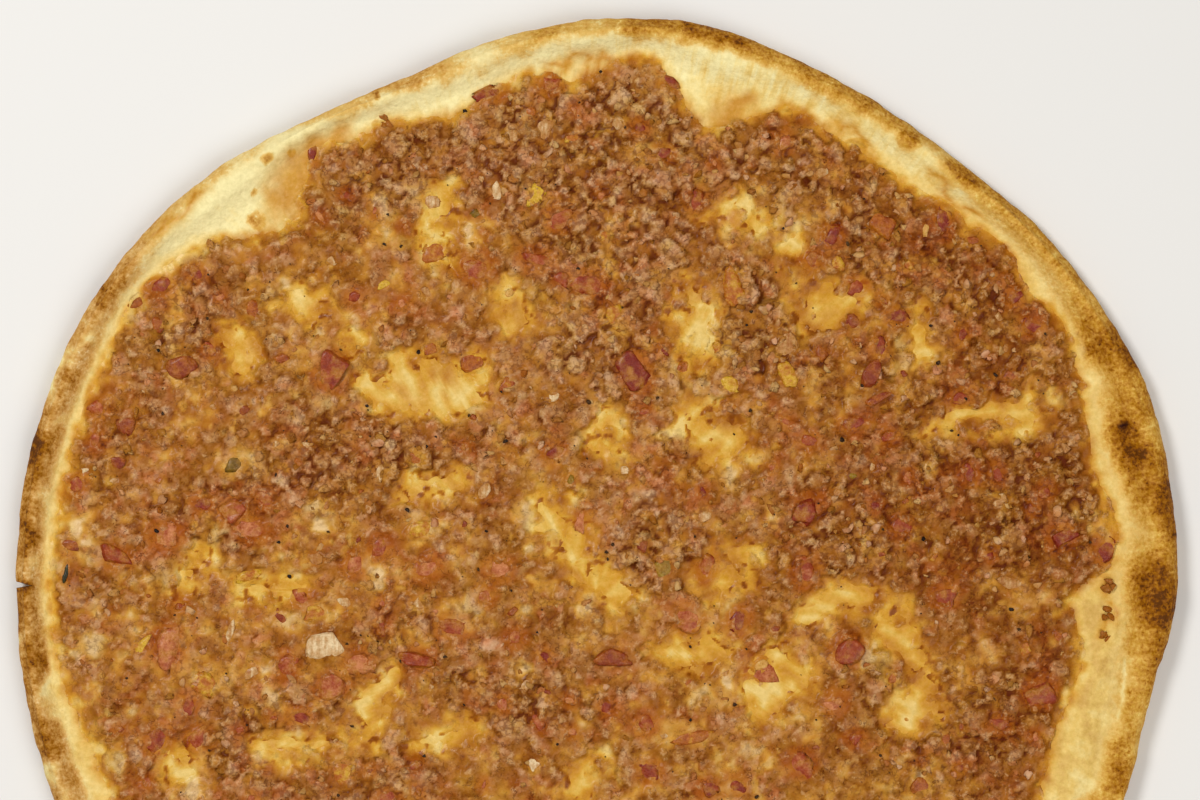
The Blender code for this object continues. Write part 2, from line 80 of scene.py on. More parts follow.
# Scorched places of the rim: (x, y, half length along the rim, half width across it, strength)
SCORCHES = (
    (134.7, 1.4, 8.5, 5.0, 0.27), (127.6, 38.0, 7.0, 4.6, 0.32), (76.0, 110.0, 3.4, 2.6, 0.40),
    (138.0, 22.0, 8.0, 3.0, 0.25), (-133.0, 41.0, 6.0, 2.6, 0.22), (-131.5, -34.0, 6.0, 3.0, 0.25),
    (88.0, 103.0, 5.0, 2.0, 0.30), (30.0, 136.0, 9.0, 1.6, 0.12), (20.0, -132.0, 9.0, 3.6, 0.40),
    (-88.0, -104.0, 7.0, 3.0, 0.35), (104.0, -84.0, 8.0, 3.4, 0.35),
)
# Small browned spots of the bare bread: (x, y, half length, half width, turn in degrees, strength)
BROWN_SPOTS = (
    (-78.8, 106.3, 1.8, 1.1, 10, 0.50), (-82.2, 98.3, 1.0, 0.7, 60, 0.42), (-81.8, 92.0, 2.5, 1.8, 20, 0.50),
    (-68.7, 97.3, 1.8, 1.5, 0, 0.66), (-51.6, 114.7, 2.4, 1.0, -20, 0.60),
    (-52.6, 122.4, 1.9, 0.5, 96, 0.60), (-73.0, 107.4, 0.8, 0.6, 0, 0.4), (63.1, 109.6, 2.8, 1.4, -20, 0.8),
    (127.1, 42.0, 1.0, 0.9, 0, 1.40), (127.4, 37.0, 2.6, 4.6, 20, 0.26), (126.2, -22.0, 1.4, 5.0, 0, 0.18),
    (8.0, 136.5, 2.8, 1.0, 0, 0.14), (23.0, 137.0, 3.0, 1.2, -10, 0.18),
    (33.5, 134.0, 3.0, 1.2, -20, 0.18),
    (49.0, 130.1, 3.6, 1.2, -25, 0.18), (63.6, 125.3, 3.4, 1.2, -30, 0.16),
)
# The one dark spot, in the hole at a blister's top: (x, y, half length, half width, turn in degrees)
DARK_HOLE_SPOT = (127.1, 42.0, 1.0, 0.8, 30)
# Raised pale wrinkles of the bare bread: (x, y, half length, half width, turn in degrees)
WRINKLES = (
    (126.4, -21.4, 7.8, 0.55, 84), (122.4, 30.0, 9.0, 0.5, 78), (48.0, 114.0, 3.4, 0.4, -60),
    (54.0, 119.0, 2.8, 0.4, 60), (-97.0, 101.0, 6.0, 0.5, 44),
)
# Pools of yellow fat on the bare bread: (x, y, half length, half width, turn in degrees)
FAT_POOLS = (
    (-70.0, 103.0, 15.0, 7.5, 52), (32.0, 117.0, 9.0, 5.5, 20), (-2.0, 128.5, 9.0, 2.2, 5),
    (60.0, 112.5, 9.0, 2.4, -38), (-100.0, 92.0, 9.0, 2.6, 40), (86.0, 98.0, 9.0, 2.0, -47),
    (-127.0, 20.0, 12.0, 1.6, 82), (-122.0, -36.0, 9.0, 2.0, -72), (60.0, -118.0, 12.0, 2.6, 30),
    (123.4, -2.0, 8.0, 2.0, 88), (123.4, 3.6, 2.6, 2.0, 0), (123.4, -3.1, 2.6, 2.0, 60),
    (122.8, -8.6, 2.6, 2.0, 0),
)
# Blisters raised on the rim: (x, y, radius, height)
BLISTERS = (
    (127.5, 40.5, 3.4, 0.9), (76.0, 110.0, 3.0, 0.8), (132.0, 3.0, 5.0, 0.5), (-128.0, 50.0, 4.0, 0.4),
    (127.1, 42.0, 1.0, -1.7), (96.0, 96.0, 3.4, 0.5), (-131.0, -30.0, 3.6, 0.4), (30.0, -131.0, 4.6, 0.7),
    (-92.0, -99.0, 4.0, 0.6),
)

# Edge of the topping: (direction in degrees, distance from the middle)
TOPPING_EDGE = (
    (-23, 116.0), (-17, 114.8), (-10, 118.0), (-5, 117.0), (-1, 113.2), (2, 117.0), (4.5, 124.5),
    (10, 126.5), (13, 124.3), (20, 125.3), (26, 129.0), (31, 131.5), (37, 127.0), (41, 130.3),
    (45, 127.0), (56, 125.0), (63, 124.6), (69, 128.0), (72.5, 120.0), (77, 116.6), (80, 121.0),
    (84, 131.0), (87, 130.0), (91, 124.8), (98, 127.0), (103, 124.6), (107, 121.0), (113, 125.2),
    (117, 123.4), (121.5, 130.5), (125, 121.5), (129, 116.3), (134, 121.0), (140, 129.4),
    (147, 132.4), (156, 131.2), (163, 130.6), (178, 131.6), (187, 130.0), (198, 125.0), (208, 127.5),
    (218, 121.5), (228, 127.0), (238, 128.5), (248, 122.5), (260, 127.5), (270, 121.0), (282, 126.5),
    (294, 125.0), (304, 119.0), (314, 125.0), (326, 122.0),
)
# Least gap between the topping and the foot of the rim
RIM_CLEARANCE = 0.9
# Patches where the bread shows through: (x, y, half length, half width, turn in degrees)
BARE_PATCHES = (
    (-38, 89, 9.2, 2.9, 100), (-70, 72, 6.7, 3.6, 10), (-59, 60, 6.3, 2.0, 80), (-87, 59, 5.3, 4.0, -50),
    (-42, 51, 14.5, 6.3, 5), (-21, 68, 6.3, 4.3, 110), (-40, 27, 7.7, 3.4, 15), (-10, 17, 9.6, 5.2, -60),
    (3, 3, 9.0, 3.6, -38), (23, 68, 10.0, 4.2, 105), (30, 39, 9.6, 5.4, -30), (4, 40, 4.8, 3.9, -60),
    (46, 83, 4.8, 3.4, 110), (56, 71, 9.0, 5.4, 15), (79, 63, 6.0, 3.2, 75), (94, 44, 13.5, 3.6, 10),
    (34, 8, 8.0, 3.8, 35), (57, -1, 10.4, 3.9, 20), (25, -12, 9.4, 3.9, 5), (43, -21, 9.0, 6.4, 45),
    (74, -9, 9.8, 5.2, -60), (78, -26, 7.8, 4.2, 60), (-36, -34, 7.2, 4.3, 15), (-3, -43, 4.4, 3.4, 90),
    (-52, -25, 8.6, 3.8, 60), (-72, -36, 9.0, 3.0, 10), (-98, 5, 5.8, 3.6, 40), (-77, 2, 8.7, 2.4, 5),
    (36, 93, 8.7, 2.2, 3), (-30, -62, 9.0, 4.4, 30), (22, -68, 10.0, 4.6, -20), (66, -58, 8.0, 4.6, 50),
    (-70, -66, 8.4, 4.0, -35), (-8, -94, 9.4, 4.4, 12), (44, -98, 7.2, 3.8, -50), (-46, -100, 7.0, 3.6, 65),
    (84, -76, 6.4, 3.4, 20), (-100, -40, 5.6, 3.2, 75),
)
# How far outside a patch the meat still feels it
PATCH_REACH = 16
# Places where the meat lies dry and crumbly, and not soaked: (x, y, half width, half height)
CRUMBLY_PLACES = (
    (1, 113, 36, 19), (11, 84, 26, 26), (-42, 105, 22, 11), (49, 106, 19, 12), (39, 65, 13, 12),
    (-1, 58, 12, 14), (92, 75, 14, 17), (83, 39, 22, 14), (66, 14, 26, 16), (107, 24, 14, 14),
    (92, -32, 21, 17), (68, 87, 14, 12), (-71, 31, 14, 12), (-93, 65, 19, 14), (-54, 36, 15, 10),
    (13, 10, 12, 10), (-47, -5, 12, 10), (-14, -24, 15, 8), (-88, -34, 12, 10), (0, -75, 28, 14),
    (55, -88, 20, 13), (-62, -86, 20, 14), (8, -112, 24, 10),
)

# The meat: spacing of its points, usual thickness, and how deep in the bread its skirt ends
MEAT_GRID = 0.44
MEAT_THICKNESS = 2.0
BURIED = -0.7
# Chunks of meat: (how many, shortest, longest, how far their sides round down)
CHUNK_KINDS = ((2400, 3.4, 7.0, 1.1), (9500, 1.9, 3.8, 0.8), (8000, 1.1, 2.4, 0.5), (5000, 0.7, 1.3, 0.4))

# Vegetables in the meat: (x, y, length, width, turn in degrees, tone from 0 to 1)
TOMATO_BITS = (
    (-105.5, 75.4, 5.4, 3.9, 10, 0.3), (-9.9, 35.7, 6.0, 4.3, 35, 0.05), (-3.6, 19.3, 6.7, 2.4, 80, 0.95),
    (-11.1, 124.1, 6.0, 4.6, -5, 0.45), (10.6, 113.7, 3.8, 3.4, 0, 0.1), (17.8, 125.3, 4.5, 2.9, -60, 0.15),
    (-1.4, 76.1, 8.0, 6.5, -20, 0.4), (72.8, 68.2, 5.5, 4.3, -30, 0.05), (88.4, 63.9, 4.3, 2.4, 80, 0.2),
    (90.1, 30.1, 5.4, 4.3, 70, 0.1), (73.3, 17.6, 5.2, 4.6, 20, 0.35), (122.9, 12.3, 6.6, 5.6, 50, 0.2),
    (-71.1, 0.2, 4.8, 4.2, 0, 0.6), (-95.7, -33.7, 6.6, 6.0, 40, 0.55), (-74.7, -15.7, 6.3, 4.6, 70, 0.5),
    (-40.5, 7.7, 6.3, 5.4, 25, 0.75), (-23.1, 7.2, 7.4, 5.4, 10, 0.9), (-34.5, -6.7, 8.2, 5.0, -10, 0.5),
    (-19.5, -9.2, 4.8, 4.2, 50, 0.6), (34.7, -5.1, 6.6, 4.6, 75, 0.1), (58.1, -24.8, 5.2, 4.6, 30, 0.85),
    (97.3, -30.1, 5.0, 4.2, 0, 0.4), (33.5, -44.8, 5.4, 4.2, 20, 0.1), (-79.6, 24.5, 6.0, 4.6, -40, 0.5),
    (-58.0, 8.6, 6.4, 4.8, 60, 0.7), (-28.7, 80.0, 9.0, 7.4, 0, 0.5), (24.0, 96.0, 5.0, 4.0, 80, 0.3),
    (51.0, 38.5, 5.4, 4.0, -15, 0.5), (-50.0, -48.0, 6.0, 4.6, 20, 0.6), (12.0, -30.0, 5.6, 4.4, 65, 0.4),
    (-8.7, 92.0, 6.0, 5.6, 0, 0.6), (-14.2, 82.0, 9.0, 5.0, -10, 0.5), (57.1, 87.5, 6.0, 5.0, 80, 0.15),
    (52.3, 82.7, 5.0, 4.6, 0, 0.3), (68.4, 61.0, 5.0, 4.0, 80, 0.1), (62.9, 75.4, 5.0, 4.0, 0, 0.5),
    (83.6, 91.0, 6.6, 4.6, 90, 0.1), (-25.5, 122.2, 7.6, 4.0, 10, 0.1), (-68.4, 109.2, 7.6, 2.8, 100, 0.1),
    (-96.4, 79.0, 6.0, 4.0, -45, 0.2), (-82.9, 16.9, 9.0, 5.0, -10, 0.8), (-103.4, 15.2, 8.0, 7.0, 0, 0.8),
    (-56.9, -14.5, 8.0, 6.0, 10, 0.9), (-52.0, 12.8, 6.0, 5.0, 80, 0.5), (-71.3, -28.2, 6.0, 4.0, -20, 0.3),
    (-105.5, -33.7, 7.6, 5.6, 70, 0.3), (-98.3, -25.2, 6.0, 4.0, 70, 0.3), (-100.7, -1.7, 3.2, 2.8, 0, 0.3),
    (50.8, 6.7, 8.0, 6.4, 80, 0.5), (21.9, -4.1, 8.0, 6.0, -30, 0.7), (40.2, -17.4, 9.4, 7.0, 0, 0.7),
    (83.6, 0.7, 6.0, 5.0, 0, 0.3), (26.7, 8.0, 7.0, 4.0, 80, 0.6), (61.9, 42.7, 7.0, 4.0, 20, 0.2),
    (87.7, 48.9, 5.0, 3.2, 0, 0.4), (49.2, -39.3, 7.0, 6.0, 0, 0.5), (13.0, -41.3, 6.0, 5.0, 0, 0.3),
    (-120.0, 46.0, 5.6, 4.2, 30, 0.65), (-120.4, 38.4, 5.0, 3.6, 70, 0.5),
    (-125.0, 27.4, 5.0, 3.8, 50, 0.55),
)
PEPPER_BITS = (
    (-14.2, 97.6, 6.6, 3.5, 66, 1.0), (-51.1, 75.9, 3.7, 2.8, 30, 1.0), (-110.4, 71.8, 4.2, 3.6, 60, 0.3),
    (62.4, 66.7, 5.5, 4.2, 75, 0.1), (68.9, 48.9, 7.2, 2.5, 25, 0.25), (-109.6, -10.8, 6.5, 2.6, 55, 0.85),
    (-94.2, -20.2, 6.6, 5.4, -20, 0.6), (-83.1, 6.0, 7.6, 3.4, 20, 0.75), (-61.2, -41.4, 7.6, 6.6, 70, 0.6),
    (-5.8, 111.3, 4.2, 2.4, 0, 0.6), (-40.0, 60.5, 4.4, 3.4, 30, 0.4), (29.0, 61.0, 4.0, 3.0, -50, 0.7),
    (-21.0, 52.0, 6.0, 4.0, 10, 0.35), (2.0, 88.0, 3.4, 2.8, 60, 0.5), (100.0, 54.0, 4.0, 3.0, -20, 0.3),
    (-38.6, 83.9, 7.5, 6.0, 60, 0.5), (-105.8, 67.0, 5.0, 3.6, 80, 0.2), (-82.7, 70.6, 6.0, 4.0, 60, 0.3),
    (-29.6, 57.4, 7.6, 4.6, 0, 0.35), (3.9, 68.7, 6.0, 4.6, 90, 0.6), (58.3, 81.2, 5.0, 3.0, -20, 0.6),
    (20.7, 55.9, 5.0, 4.0, 80, 0.5), (32.3, 52.3, 6.0, 4.0, 0, 0.9), (90.8, 86.7, 4.0, 3.4, 0, 0.3),
    (-42.4, 16.9, 6.0, 5.0, 0, 0.8), (-67.0, -2.9, 7.0, 4.6, 0, 0.6), (23.4, -33.0, 9.0, 4.0, 5, 0.4),
    (78.6, -44.6, 5.0, 4.4, 0, 0.3), (-126.7, 13.4, 5.4, 3.4, -20, 0.2), (-113.0, 42.0, 5.2, 4.8, 20, 0.15),
    (-115.4, 33.2, 4.4, 3.8, -20, 0.15),
)
GREEN_BITS = (
    (16.4, 7.5, 5.8, 5.4, 0, 0.5), (-87.0, 33.0, 4.8, 4.4, 0, 0.2), (-29.0, 93.0, 2.6, 2.0, 40, 0.3),
    (-6.0, 29.0, 3.0, 2.2, 70, 0.4), (62.0, 30.0, 2.4, 1.8, 10, 0.6),
)
ONION_BITS = (
    (-12.3, 113.5, 6.7, 5.0, 70, 0.3), (-40.0, 96.4, 4.2, 3.6, 0, 0.5), (-23.9, 99.0, 4.8, 2.8, 80, 0.7),
    (-88.2, -8.0, 8.0, 2.6, 76, 0.6), (-82.9, -17.3, 5.2, 3.0, 30, 0.45), (100.2, 4.3, 8.2, 4.2, -15, 0.2),
    (-14.7, -39.8, 3.8, 3.0, 20, 1.0), (97.3, 23.6, 5.6, 3.2, 20, 0.4), (-9.9, 48.7, 3.0, 2.6, 0, 0.95),
    (-20.0, 112.0, 4.4, 3.8, 20, 0.35), (-122.9, 31.3, 2.2, 1.6, 0, 1.0), (-27.0, 26.0, 6.0, 4.0, 60, 0.5),
    (-52.0, 31.0, 4.6, 2.6, 80, 0.5), (26.0, 20.0, 4.4, 3.4, 10, 0.4), (7.0, 31.0, 2.6, 2.2, 0, 0.8),
    (45.5, 61.0, 8.0, 6.0, 30, 0.3), (-60.5, -0.5, 5.0, 4.6, 0, 0.7),
)
SEEDS = (
    (79.3, 88.9, 3.9, 2.2, 80, 0.5), (39.8, -15.7, 4.2, 3.2, 30, 0.4), (-21.0, 74.0, 3.0, 2.0, 50, 0.6),
    (21.0, -52.0, 3.4, 2.2, 10, 0.5), (-62.0, -58.0, 3.2, 2.2, 70, 0.4),
)
HERBS = (
    (-127.7, 6.5, 6.4, 2.0, 82, 0.5), (31.0, -90.0, 5.0, 1.6, 20, 0.5), (-40.0, -74.0, 4.0, 1.4, 130, 0.5),
)
# The large pieces, which the frame places: tone from 0 to 1
LARGE_TONES = {
    "tomato_01": 0.0, "tomato_02": 0.35, "tomato_03": 0.3, "tomato_04": 0.8, "tomato_05": 0.55,
    "tomato_06": 0.7, "tomato_07": 0.45, "tomato_08": 0.1, "tomato_09": 0.15, "tomato_10": 0.35,
    "tomato_11": 0.3, "tomato_12": 0.6, "pepper_01": 0.1, "pepper_02": 0.55, "pepper_03": 0.1,
    "pepper_04": 0.35, "pepper_05": 0.15, "pepper_06": 0.75, "pepper_07": 0.5, "onion_01": 0.95,
}
# How much larger each is made than its solid, as its cut corners take some off again
LARGE_SWELL = 1.04
# Cooked flesh: (name, darkest, middle and palest shade, dry roughness, how soaked, shine, fibres)
FLESHES = {
    "tomato": ("tomato_flesh", (132, 46, 16), (163, 71, 30), (208, 130, 80), 0.45, 0.75, 0.12, 0.0),
    "pepper": ("pepper_flesh", (140, 58, 4), (184, 102, 6), (226, 180, 60), 0.45, 0.3, 0.12, 0.0),
    "onion": ("onion_flesh", (172, 108, 52), (199, 147, 88), (242, 213, 166), 0.45, 0.6, 0.12, 1.6),
    "green": ("green_pepper_flesh", (112, 82, 12), (154, 116, 28), (176, 146, 52), 0.4, 0.3, 0.12, 0.0),
    "seed": ("seed_coat", (196, 134, 58), (222, 168, 86), (240, 206, 130), 0.45, 0.2, 0.12, 0.0),
    "herb": ("herb_stalk", (34, 38, 14), (52, 52, 20), (86, 80, 34), 0.5, 0.1, 0.12, 0.0),
    "spice": ("black_pepper_grain", (22, 16, 12), (44, 32, 22), (78, 56, 34), 0.6, 0.1, 0.0, 0.0),
}
# How far out the small pieces, the loose crumbs and the grains of black pepper reach, and their number
BIT_REACH = 126
CRUMB_REACH = 129
CRUMB_TRIES = 22000
CRUMB_COUNT = 1200
GRAIN_REACH = 128
GRAIN_COUNT = 280
# Where a few crumbs lie together on the bare bread: (x, y)
LONE_CRUMBS = ((123.4, 3.6), (123.4, -3.1), (122.8, -8.6), (-51.0, 115.6))
CRUMBS_TOGETHER = 5

# The bread's mesh: points round it, and points over its rim's section
SECTORS = 960
RIM_SAMPLES = 52
# Rings of its two flat faces: (shares of the way out, how many sectors to a point)
UNDERSIDE_RINGS = (
    ((0.04, 0.1, 0.18), 4), ((0.28, 0.38, 0.48), 2), ((0.58, 0.68, 0.78, 0.86, 0.92, 0.965), 1),
)
FLOOR_RINGS = (
    (np.linspace(0.983, 0.58, 25), 1), (np.linspace(0.555, 0.3, 12), 2), (np.linspace(0.27, 0.03, 9), 4),
)

# The lights, in metres and watts: (place, size, power), and the light from all round
LIGHTS = {"key": ((-0.5, 0.42, 1.0), 0.35, 7.7), "fill": ((0.5, -0.45, 1.0), 0.9, 6.2)}
ROOM_LIGHT = (1.0, 0.95, 0.86, 1)
ROOM_STRENGTH = 0.32
# The camera, in metres: its height, and the height at which it shows the view's width
CAMERA_HEIGHT = 1.0
PIE_HEIGHT = 0.005
# What the photograph shows, in millimetres: its width, and the point that it is centred on
VIEW_WIDTH = 289.2
VIEW_CENTRE = (1.0, 48.2, 0.0)
# The floor, in metres: its size, and how far it lies below the pie
FLOOR_COLOUR = (0.80, 0.79, 0.77, 1)
FLOOR_SIZE = 4
FLOOR_DROP = 0.0003

# Noise and curves

RANDOM_COUNT = 65536
RANDOM = np.random.default_rng(17).random(RANDOM_COUNT)
SCRAMBLE = (73856093, 19349663, 83492791, 7919)


def lattice_value(i, j, k, seed):
    """A random number from 0 to 1 for each whole-numbered point."""
    key = (i * SCRAMBLE[0]) ^ (j * SCRAMBLE[1]) ^ (k * SCRAMBLE[2]) ^ (seed * SCRAMBLE[3])
    return RANDOM[(key ^ (key >> 11)) & (RANDOM_COUNT - 1)]


def soft_noise(x, y, z, spacing, seed):
    """Smooth random value from -1 to 1 at each point."""
    x, y, z = np.broadcast_arrays(x, y, z)
    scaled = [c / spacing + 0.37 * seed for c in (x, y, z)]
    cells = [np.floor(c).astype(np.int64) for c in scaled]
    shares = [c - cell for c, cell in zip(scaled, cells)]
    shares = [s * s * s * (s * (6 * s - 15) + 10) for s in shares]
    total = np.zeros(x.shape)
    for corner in itertools.product((0, 1), repeat=3):
        weight = np.ones(x.shape)
        for share, side in zip(shares, corner):
            weight = weight * (share if side else 1 - share)
        total += weight * lattice_value(*(c + side for c, side in zip(cells, corner)), seed)
    return 2 * total - 1


def rough_noise(x, y, z, spacing, seed, octaves=3):
    """Several sizes of soft noise on each other."""
    total, weight = 0, 1.0
    for octave in range(octaves):
        total = total + weight * soft_noise(x, y, z, spacing, seed + octave)
        spacing, weight = spacing * 0.5, weight * 0.5
    return total


def flat_noise(x, y, spacing, seed, octaves=3):
    """Rough noise over a plane. Each use has its own seed, so that no two wander alike."""
    return rough_noise(x, y, 0, spacing, seed, octaves)


def step(value, low, high):
    """0 below low, 1 above high, and smooth between them."""
    share = np.clip((value - low) / (high - low), 0, 1)
    return share * share * (3 - 2 * share)


def hump(value, middle, reach):
    """1 at the middle, falling away smoothly on both sides."""
    return np.exp(-(((value - middle) / reach) ** 2))


def around(table, degrees, column=1):
    """Values of a closed table at directions, on a smooth curve through its entries."""
    turns = np.array([entry[0] for entry in table], float)
    values = np.array([entry[column] for entry in table], float)
    degrees = (np.asarray(degrees, float) - turns[0]) % 360 + turns[0]
    turns = np.concatenate((turns[-2:] - 360, turns, turns[:3] + 360))
    values = np.concatenate((values[-2:], values, values[:3]))
    i = np.searchsorted(turns, degrees, side="right") - 1
    span = turns[i + 1] - turns[i]
    slope1 = (values[i + 1] - values[i - 1]) / (turns[i + 1] - turns[i - 1])
    slope2 = (values[i + 2] - values[i]) / (turns[i + 2] - turns[i])
    u = (degrees - turns[i]) / span
    return (
        (2 * u**3 - 3 * u**2 + 1) * values[i] + (u**3 - 2 * u**2 + u) * span * slope1
        + (3 * u**2 - 2 * u**3) * values[i + 1] + (u**3 - u**2) * span * slope2
    )


def oval_distance(x, y, place):
    """Distance outside an oval, about in millimetres, and below 0 inside it."""
    middle_x, middle_y, half_length, half_width, turn = place
    c, s = math.cos(math.radians(turn)), math.sin(math.radians(turn))
    along = (x - middle_x) * c + (y - middle_y) * s
    across = (y - middle_y) * c - (x - middle_x) * s
    reach = np.hypot(along / half_length, across / half_width)
    steep = np.hypot(along / half_length**2, across / half_width**2)
    return reach * (reach - 1) / np.maximum(steep, 1e-6)


def scattered(draw, radius, count):
    """Random places, spread evenly over a disc."""
    turn = draw.uniform(0, 2 * np.pi, count)
    reach = radius * np.sqrt(draw.random(count))
    return reach * np.cos(turn), reach * np.sin(turn)


def footprint_middle():
    """Middle of the solid bread's bounding box, which is the frame's origin. The solid has 132 sides."""
    sectors = 132
    turns = np.radians(np.arange(sectors) * 360 / sectors)
    edge = around(BREAD_EDGE, np.degrees(turns))
    x, y = edge * np.cos(turns), edge * np.sin(turns)
    return np.array(((x.min() + x.max()) / 2, (y.min() + y.max()) / 2, 0))


MIDDLE = footprint_middle()


# Making meshes


def make_piece(name, points, faces, material, slot, replaced, **masks):
    """A smooth mesh piece from points in millimetres, arrays of faces, and values for each point."""
    mesh = bpy.data.meshes.new(name)
    mesh.vertices.add(len(points))
    mesh.vertices.foreach_set("co", ((points - MIDDLE) * MM).astype(np.float32).ravel())
    corners = np.concatenate([f.ravel() for f in faces])
    sizes = np.concatenate([np.full(len(f), f.shape[1]) for f in faces])
    mesh.loops.add(len(corners))
    mesh.loops.foreach_set("vertex_index", corners.astype(np.int32))
    mesh.polygons.add(len(sizes))
    mesh.polygons.foreach_set("loop_start", (np.cumsum(sizes) - sizes).astype(np.int32))
    for key, values in masks.items():
        kind, label = ("FLOAT_VECTOR", "vector") if np.ndim(values) == 2 else ("FLOAT", "value")
        layer = mesh.attributes.new(key, kind, "POINT")
        layer.data.foreach_set(label, np.asarray(values, np.float32).ravel())
    mesh.update(calc_edges=True)
    mesh.validate()
    mesh.shade_smooth()
    mesh.materials.append(material)
    piece = bpy.data.objects.new(name, mesh)
    bpy.context.scene.collection.objects.link(piece)
    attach(piece, "root")
    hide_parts(replaced)


# Shader nodes

# How much the lights brighten a surface, and the sheen that they lay over it
LIGHT_LEVEL = 1.12
SHEEN = 0.012
NO_TINT = (1.0, 1.0, 1.0, 1)


def colour(red, green, blue):
    """Linear colour of a surface that shows as these values from 0 to 255 under the light and its sheen."""
    shown = np.array((red, green, blue)) / 255
    linear = np.where(shown > 0.04045, ((shown + 0.055) / 1.055) ** 2.4, shown / 12.92)
    return (*np.clip(linear / LIGHT_LEVEL - SHEEN, 0.002, 0.95), 1.0)


def feed(tree, sockets, values):
    """Links each socket to another, or sets its value. They go by name or number."""
    for key, value in values.items():
        if isinstance(value, bpy.types.NodeSocket):
            tree.links.new(value, sockets[key])
        else:
            sockets[key].default_value = value


def put(tree, kind, inputs=None, **settings):
    """Adds a node, sets its options and feeds its inputs."""
    node = tree.nodes.new(kind)
    for name, value in settings.items():
        setattr(node, name, value)
    feed(tree, node.inputs, inputs or {})
    return node


def maths(tree, operation, a, b=0.0):
    return put(tree, "ShaderNodeMath", {0: a, 1: b}, operation=operation).outputs[0]


def add(tree, total, *others):
    for other in others:
        total = maths(tree, "ADD", total, other)
    return total


def minus(tree, a, b):
    return maths(tree, "SUBTRACT", a, b)


def times(tree, a, b):
    return maths(tree, "MULTIPLY", a, b)


def mixed(tree, share, a, b, how="MIX"):
    node = put(tree, "ShaderNodeMix", {0: share, 6: a, 7: b}, data_type="RGBA", blend_type=how)
    return node.outputs[2]


def spread(tree, value, low, high, to_low=0.0, to_high=1.0):
    """Smoothly maps the range from low to high to another range."""
    inputs = {0: value, 1: low, 2: high, 3: to_low, 4: to_high}
    return put(tree, "ShaderNodeMapRange", inputs, interpolation_type="SMOOTHSTEP").outputs[0]


def ramp(tree, value, *stops):
    """Colour ramp with stops of (position, colour)."""
    node = put(tree, "ShaderNodeValToRGB", {0: value})
    elements = node.color_ramp.elements
    while len(elements) < len(stops):
        elements.new(0.5)
    for element, (position, shade) in zip(elements, stops):
        element.position = position
        element.color = shade
    return node.outputs[0]


def shades(tree, value, *stops):
    """Ramp of shades as they show, with stops of (position, red, green, blue)."""
    return ramp(tree, value, *[(position, colour(*shown)) for position, *shown in stops])


def mask(tree, name):
    return put(tree, "ShaderNodeAttribute", attribute_name=name).outputs["Fac"]


def noise(tree, where, spacing, detail=2.0, roughness=0.5):
    """Noise whose lumps are about a spacing apart, in millimetres."""
    inputs = {"Vector": where, "Scale": 1 / spacing, "Detail": detail, "Roughness": roughness}
    return put(tree, "ShaderNodeTexNoise", inputs).outputs[0]


def wobble(tree, where, spacing, detail=2.0, roughness=0.5):
    """Noise less its average, so that it goes both ways."""
    return minus(tree, noise(tree, where, spacing, detail, roughness), 0.5)


def millimetres(tree):
    """The piece's own coordinates in millimetres."""
    at = put(tree, "ShaderNodeTexCoord").outputs["Object"]
    return put(tree, "ShaderNodeVectorMath", {0: at, "Scale": 1000.0}, operation="SCALE").outputs[0]


def new_group(name, inputs, outputs):
    """An empty node group with named inputs and outputs, and its two end nodes."""
    group = bpy.data.node_groups.new(name, "ShaderNodeTree")
    for label, kind, value in inputs:
        socket = group.interface.new_socket(name=label, in_out="INPUT", socket_type=kind)
        if value is not None:
            socket.default_value = value
    for label, kind in outputs:
        group.interface.new_socket(name=label, in_out="OUTPUT", socket_type=kind)
    return group, group.nodes.new("NodeGroupInput").outputs, group.nodes.new("NodeGroupOutput").inputs


def place(tree, group, inputs):
    """Places a node group, feeds its inputs, and gives its outputs."""
    return put(tree, "ShaderNodeGroup", inputs, node_tree=group).outputs


COLOUR, FLOAT, VECTOR = "NodeSocketColor", "NodeSocketFloat", "NodeSocketVector"


def mottle_group():
    """Small light and dark flecks that break up a flat colour."""
    group, given, result = new_group(
        "mottle",
        [("Where", VECTOR, None), ("Colour", COLOUR, None),
         ("Spacing", FLOAT, 1.0), ("Strength", FLOAT, 0.3)],
        [("Colour", COLOUR), ("Height", FLOAT)],
    )
    scale = maths(group, "DIVIDE", 1.0, given["Spacing"])
    inputs = {"Vector": given["Where"], "Scale": scale, "Detail": 3.0, "Roughness": 0.62}
    fine = put(group, "ShaderNodeTexNoise", inputs).outputs[0]
    swing = times(group, minus(group, fine, 0.5), given["Strength"])
    bright = add(group, times(group, swing, 4.0), 1.0)
    strong = add(group, times(group, swing, -1.2), 1.0)
    inputs = {"Color": given["Colour"], "Value": bright, "Saturation": strong}
    mottled = put(group, "ShaderNodeHueSaturation", inputs).outputs[0]
    feed(group, result, {"Colour": mottled, "Height": fine})
    return group


